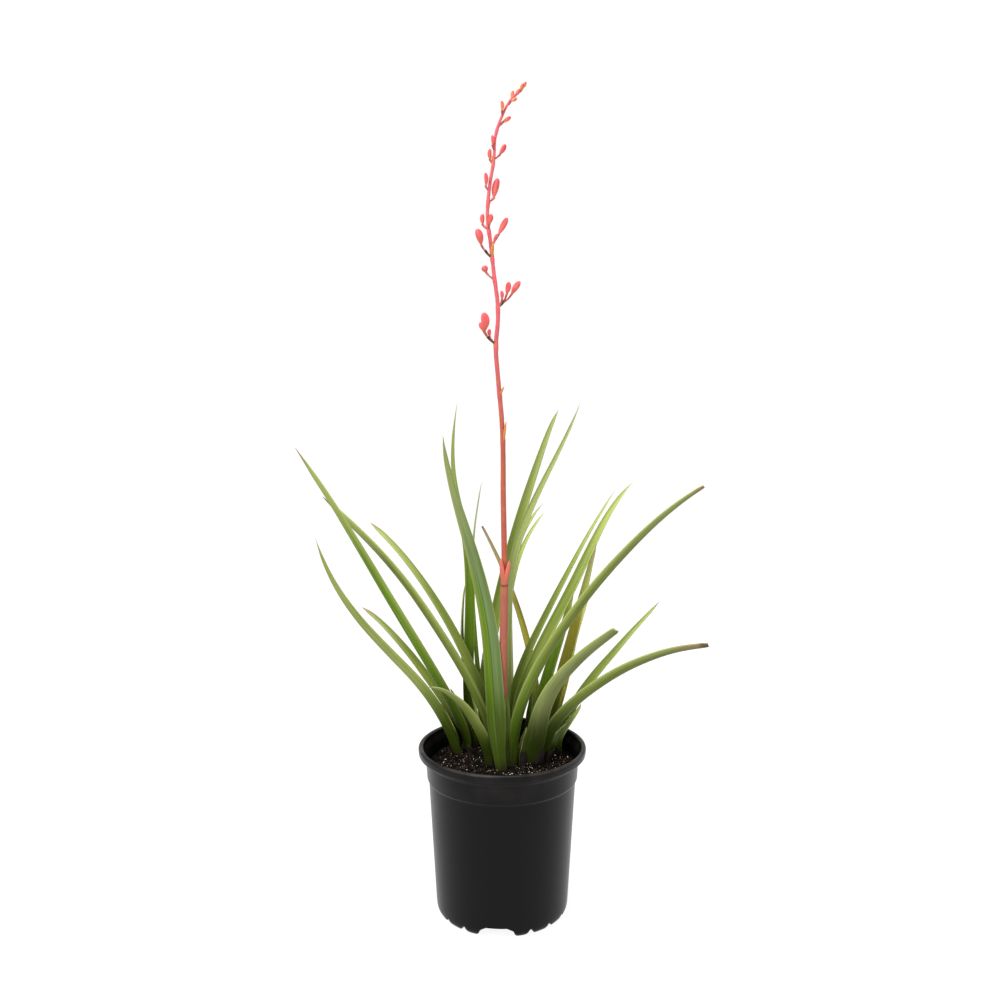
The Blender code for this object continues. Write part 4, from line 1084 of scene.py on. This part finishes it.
def make_bud_stems():
    branches = [bent_stem(start, end, STEM_RADIUS * 1.2) for start, end in BRANCHES]
    stems = [bent_stem(start, base, STEM_RADIUS) for start, base, tip, radius in BUDS]
    dark = stem_material("branch_skin", tint("stalk_low", 0.55), tint("bark", 1.4))
    coral = stem_material("bud_stem_skin", tint("stalk_high"), tint("stalk_low", 0.7))
    for name, splines, material in (("branch_stems", branches, dark), ("bud_stems", stems, coral)):
        bm = tube(name, splines, 6, 3)
        belong(new_object(name, bm, material, 60), "flower_spike", "flower_spike")


def bent_stem(start, end, radius):
    """Start, a sagging middle and end of a short stem, sunk a little at both ends."""
    start = Vector(start)
    end = Vector(end)
    way = (end - start).normalized()
    middle = (start + end) / 2 - Vector((0, 0, (end - start).length * 0.12))
    return ((start - way * radius, radius * 1.15), (middle, radius), (end + way * radius, radius * 1.25))


def bud_shape(t):
    """The bud's share of its radius at t: narrow at the base, widest past the middle, round at the tip."""
    rise = 0.22 + 0.78 * math.sin(min(t / BUD_WIDEST, 1.0) * math.pi / 2) ** 0.9
    fall = math.sqrt(1 - min(max(0.0, (t - BUD_WIDEST) / (1 - BUD_WIDEST)), 1.0) ** 2.2)
    return rise * fall


def make_buds():
    """Closed buds of six folded petals, three of them standing out as ridges."""
    sizes = bpy.context.scene.yucca_sizes
    bm = bmesh.new()
    along, ridge = vertex_values(bm, "along", "ridge")
    for number, (start, base, tip, radius) in enumerate(BUDS):
        length = (Vector(tip) - Vector(base)).length
        made = bmesh.ops.create_uvsphere(bm, u_segments=sizes.bud_sides, v_segments=16, radius=1.0)
        for vert in made["verts"]:
            t = (vert.co.z + 1) / 2
            t = 0.5 - math.cos(t * math.pi) / 2 if 0 < t < 1 else t
            bearing = math.atan2(vert.co.y, vert.co.x) + number
            fold = 0.5 + 0.5 * math.cos(bearing * 3)
            round_share = bud_shape(t) * (0.90 + 0.16 * fold * smooth(t * 4))
            flat = Vector((vert.co.x, vert.co.y)).normalized() if 0 < t < 1 else Vector((0.0, 0.0))
            bend = 0.06 * length * math.sin(t * math.pi)
            vert.co = Vector((flat.x * radius * round_share + bend, flat.y * radius * round_share,
                              t * length))
            vert[along] = t
            vert[ridge] = fold
        bmesh.ops.transform(bm, matrix=aimed(base, tip), verts=made["verts"])
    bmesh.ops.recalc_face_normals(bm, faces=bm.faces)
    belong(new_object("flower_buds", bm, bud_material(), 50), "flower_spike", "flower_spike")


def stalk_axis(height):
    """The stalk's middle at a height."""
    for (low, _), (high, _) in zip(STALK, STALK[1:]):
        if height <= high[2]:
            break
    share = (height - low[2]) / (high[2] - low[2])
    return Vector(low).lerp(Vector(high), share)


def facing_out(base, tip):
    """Matrix that puts +Z along the way from base to tip and +Y away from the stalk."""
    base = Vector(base)
    tip = Vector(tip)
    way = (tip - base).normalized()
    middle = (base + tip) / 2
    out = middle - stalk_axis(middle.z) + Vector((0.0, -0.0004, 0.0))
    out = (out - way * out.dot(way)).normalized()
    turn = Matrix((out.cross(way), out, way)).transposed().to_4x4()
    return Matrix.Translation(base) @ turn


def make_bracts():
    """Thin pointed scales, cupped round what they grow from."""
    bm = bmesh.new()
    along, side = vertex_values(bm, "along", "side")
    for base, tip, width in BRACTS:
        length = (Vector(tip) - Vector(base)).length
        made = bmesh.ops.create_grid(bm, x_segments=8, y_segments=12, size=1.0)
        sheet = made["verts"]
        faces = list({face for vert in sheet for face in vert.link_faces})
        for vert in sheet:
            vert[along] = (vert.co.y + 1) / 2
            vert[side] = vert.co.x * width / 2
        back = bmesh.ops.extrude_face_region(bm, geom=faces)["geom"]
        back = [vert for vert in back if isinstance(vert, bmesh.types.BMVert)]
        for vert in sheet + back:
            t = vert[along]
            u = vert[side] / (width / 2)
            half = width / 2 * (0.8 + 0.9 * t) * (1.02 - t ** 2.2) ** 0.8
            depth = 0.0005 * (1 - t * 0.6) if vert in back else 0.0
            vert.co = Vector((u * half, half * 0.8 * (1 - u * u) + 0.0010 * t * t - depth, t * length))
        bmesh.ops.transform(bm, matrix=facing_out(base, tip), verts=sheet + back)
    bmesh.ops.recalc_face_normals(bm, faces=bm.faces)
    belong(new_object("bract_scales", bm, bract_material(), 60), "flower_spike", "flower_spike")


# Stage
def make_backdrop():
    """A pale floor that bends up into a wall all round, so that no horizon shows."""
    bend = [(FLOOR_EDGE + FLOOR_BEND * math.sin(angle), FLOOR_BEND * (1 - math.cos(angle)))
            for angle in [math.radians(7.5 * k) for k in range(13)]]
    bm = turned([(0.0, 0.0), *bend, (FLOOR_EDGE + FLOOR_BEND, BACKDROP_HEIGHT)], 96)
    backdrop = new_object("studio_backdrop", bm, floor_material(), 60)
    backdrop.visible_diffuse = False


def area_light(name, place, target, size, power):
    data = bpy.data.lights.new(name, "AREA")
    data.shape = "DISK"
    data.size = size
    data.energy = power
    light = bpy.data.objects.new(name, data)
    light.location = place
    light.rotation_euler = (Vector(target) - Vector(place)).to_track_quat("-Z", "Y").to_euler()
    bpy.context.scene.collection.objects.link(light)


def make_lights():
    world = bpy.data.worlds.new("studio")
    world.use_nodes = True
    background = world.node_tree.nodes["Background"]
    background.inputs["Color"].default_value = (1.0, 1.0, 1.0, 1.0)
    background.inputs["Strength"].default_value = 0.62
    bpy.context.scene.world = world
    bpy.context.scene.view_settings.view_transform = "Standard"
    area_light("top", (-0.3, -0.1, 2.6), (0.0, 0.0, 0.3), 1.6, 64.0)
    area_light("key", (-1.5, -1.6, 1.9), (0.0, 0.0, 0.35), 1.0, 40.0)
    area_light("fill", (1.8, -1.2, 1.2), (0.0, 0.0, 0.3), 1.2, 14.0)


def make_camera():
    data = bpy.data.cameras.new("camera")
    data.lens = CAMERA_LENS
    data.sensor_width = CAMERA_SENSOR
    camera = bpy.data.objects.new("camera", data)
    camera.location = CAMERA_PLACE
    camera.rotation_euler = (math.radians(90 - CAMERA_PITCH), 0.0, 0.0)
    bpy.context.scene.collection.objects.link(camera)
    bpy.context.scene.camera = camera


# Operators
class Maker:
    """What every operator does: it seeds the noise and runs its makers in turn."""

    def execute(self, context):
        noise.seed_set(NOISE_SEED)
        for make in self.makers:
            make()
        return {"FINISHED"}


class YUCCA_OT_stage(Maker, bpy.types.Operator):
    """Make the backdrop, the lights and the camera"""
    bl_idname = "yucca.stage"
    bl_label = "Stage"
    makers = (make_backdrop, make_lights, make_camera)


class YUCCA_OT_pot(Maker, bpy.types.Operator):
    """Make the nursery pot"""
    bl_idname = "yucca.pot"
    bl_label = "Pot"
    makers = (make_pot,)


class YUCCA_OT_soil(Maker, bpy.types.Operator):
    """Make the potting mix with its crumbs, chips and perlite"""
    bl_idname = "yucca.soil"
    bl_label = "Potting mix"
    makers = (make_soil, make_grains)


class YUCCA_OT_leaves(Maker, bpy.types.Operator):
    """Make the leaves of the three rosettes"""
    bl_idname = "yucca.leaves"
    bl_label = "Leaves"
    makers = (make_leaves, make_young)


class YUCCA_OT_sheaths(Maker, bpy.types.Operator):
    """Make the dry sheaths at the feet of the rosettes"""
    bl_idname = "yucca.sheaths"
    bl_label = "Dry sheaths"
    makers = (make_sheaths,)


class YUCCA_OT_threads(Maker, bpy.types.Operator):
    """Make the curly threads on the leaf margins"""
    bl_idname = "yucca.threads"
    bl_label = "Margin threads"
    makers = (make_threads,)


class YUCCA_OT_spike(Maker, bpy.types.Operator):
    """Make the flower stalk with its bracts, stems and buds"""
    bl_idname = "yucca.spike"
    bl_label = "Flower spike"
    makers = (make_stalk, make_bud_stems, make_bracts, make_buds)


class YUCCA_PT_panel(bpy.types.Panel):
    """Lists the plant's pieces and settings"""
    bl_label = "Potted red yucca"
    bl_idname = "YUCCA_PT_panel"
    bl_space_type = "VIEW_3D"
    bl_region_type = "UI"
    bl_category = "Yucca"

    def draw(self, context):
        layout = self.layout
        for operator in OPERATORS:
            layout.operator(operator.bl_idname)
        for group in (context.scene.yucca_sizes, context.scene.yucca_colours):
            box = layout.box()
            for name in group.__annotations__:
                box.prop(group, name)


OPERATORS = (YUCCA_OT_stage, YUCCA_OT_pot, YUCCA_OT_soil, YUCCA_OT_leaves, YUCCA_OT_sheaths,
             YUCCA_OT_threads, YUCCA_OT_spike)
CLASSES = (YuccaColours, YuccaSizes, *OPERATORS, YUCCA_PT_panel)


def register():
    for item in CLASSES:
        bpy.utils.register_class(item)
    bpy.types.Scene.yucca_colours = PointerProperty(type=YuccaColours)
    bpy.types.Scene.yucca_sizes = PointerProperty(type=YuccaSizes)


def unregister():
    del bpy.types.Scene.yucca_sizes
    del bpy.types.Scene.yucca_colours
    for item in reversed(CLASSES):
        bpy.utils.unregister_class(item)


def main():
    register()
    bpy.ops.yucca.stage()
    bpy.ops.yucca.pot()
    bpy.ops.yucca.soil()
    bpy.ops.yucca.leaves()
    bpy.ops.yucca.sheaths()
    bpy.ops.yucca.threads()
    bpy.ops.yucca.spike()


if __name__ == "__main__":
    main()
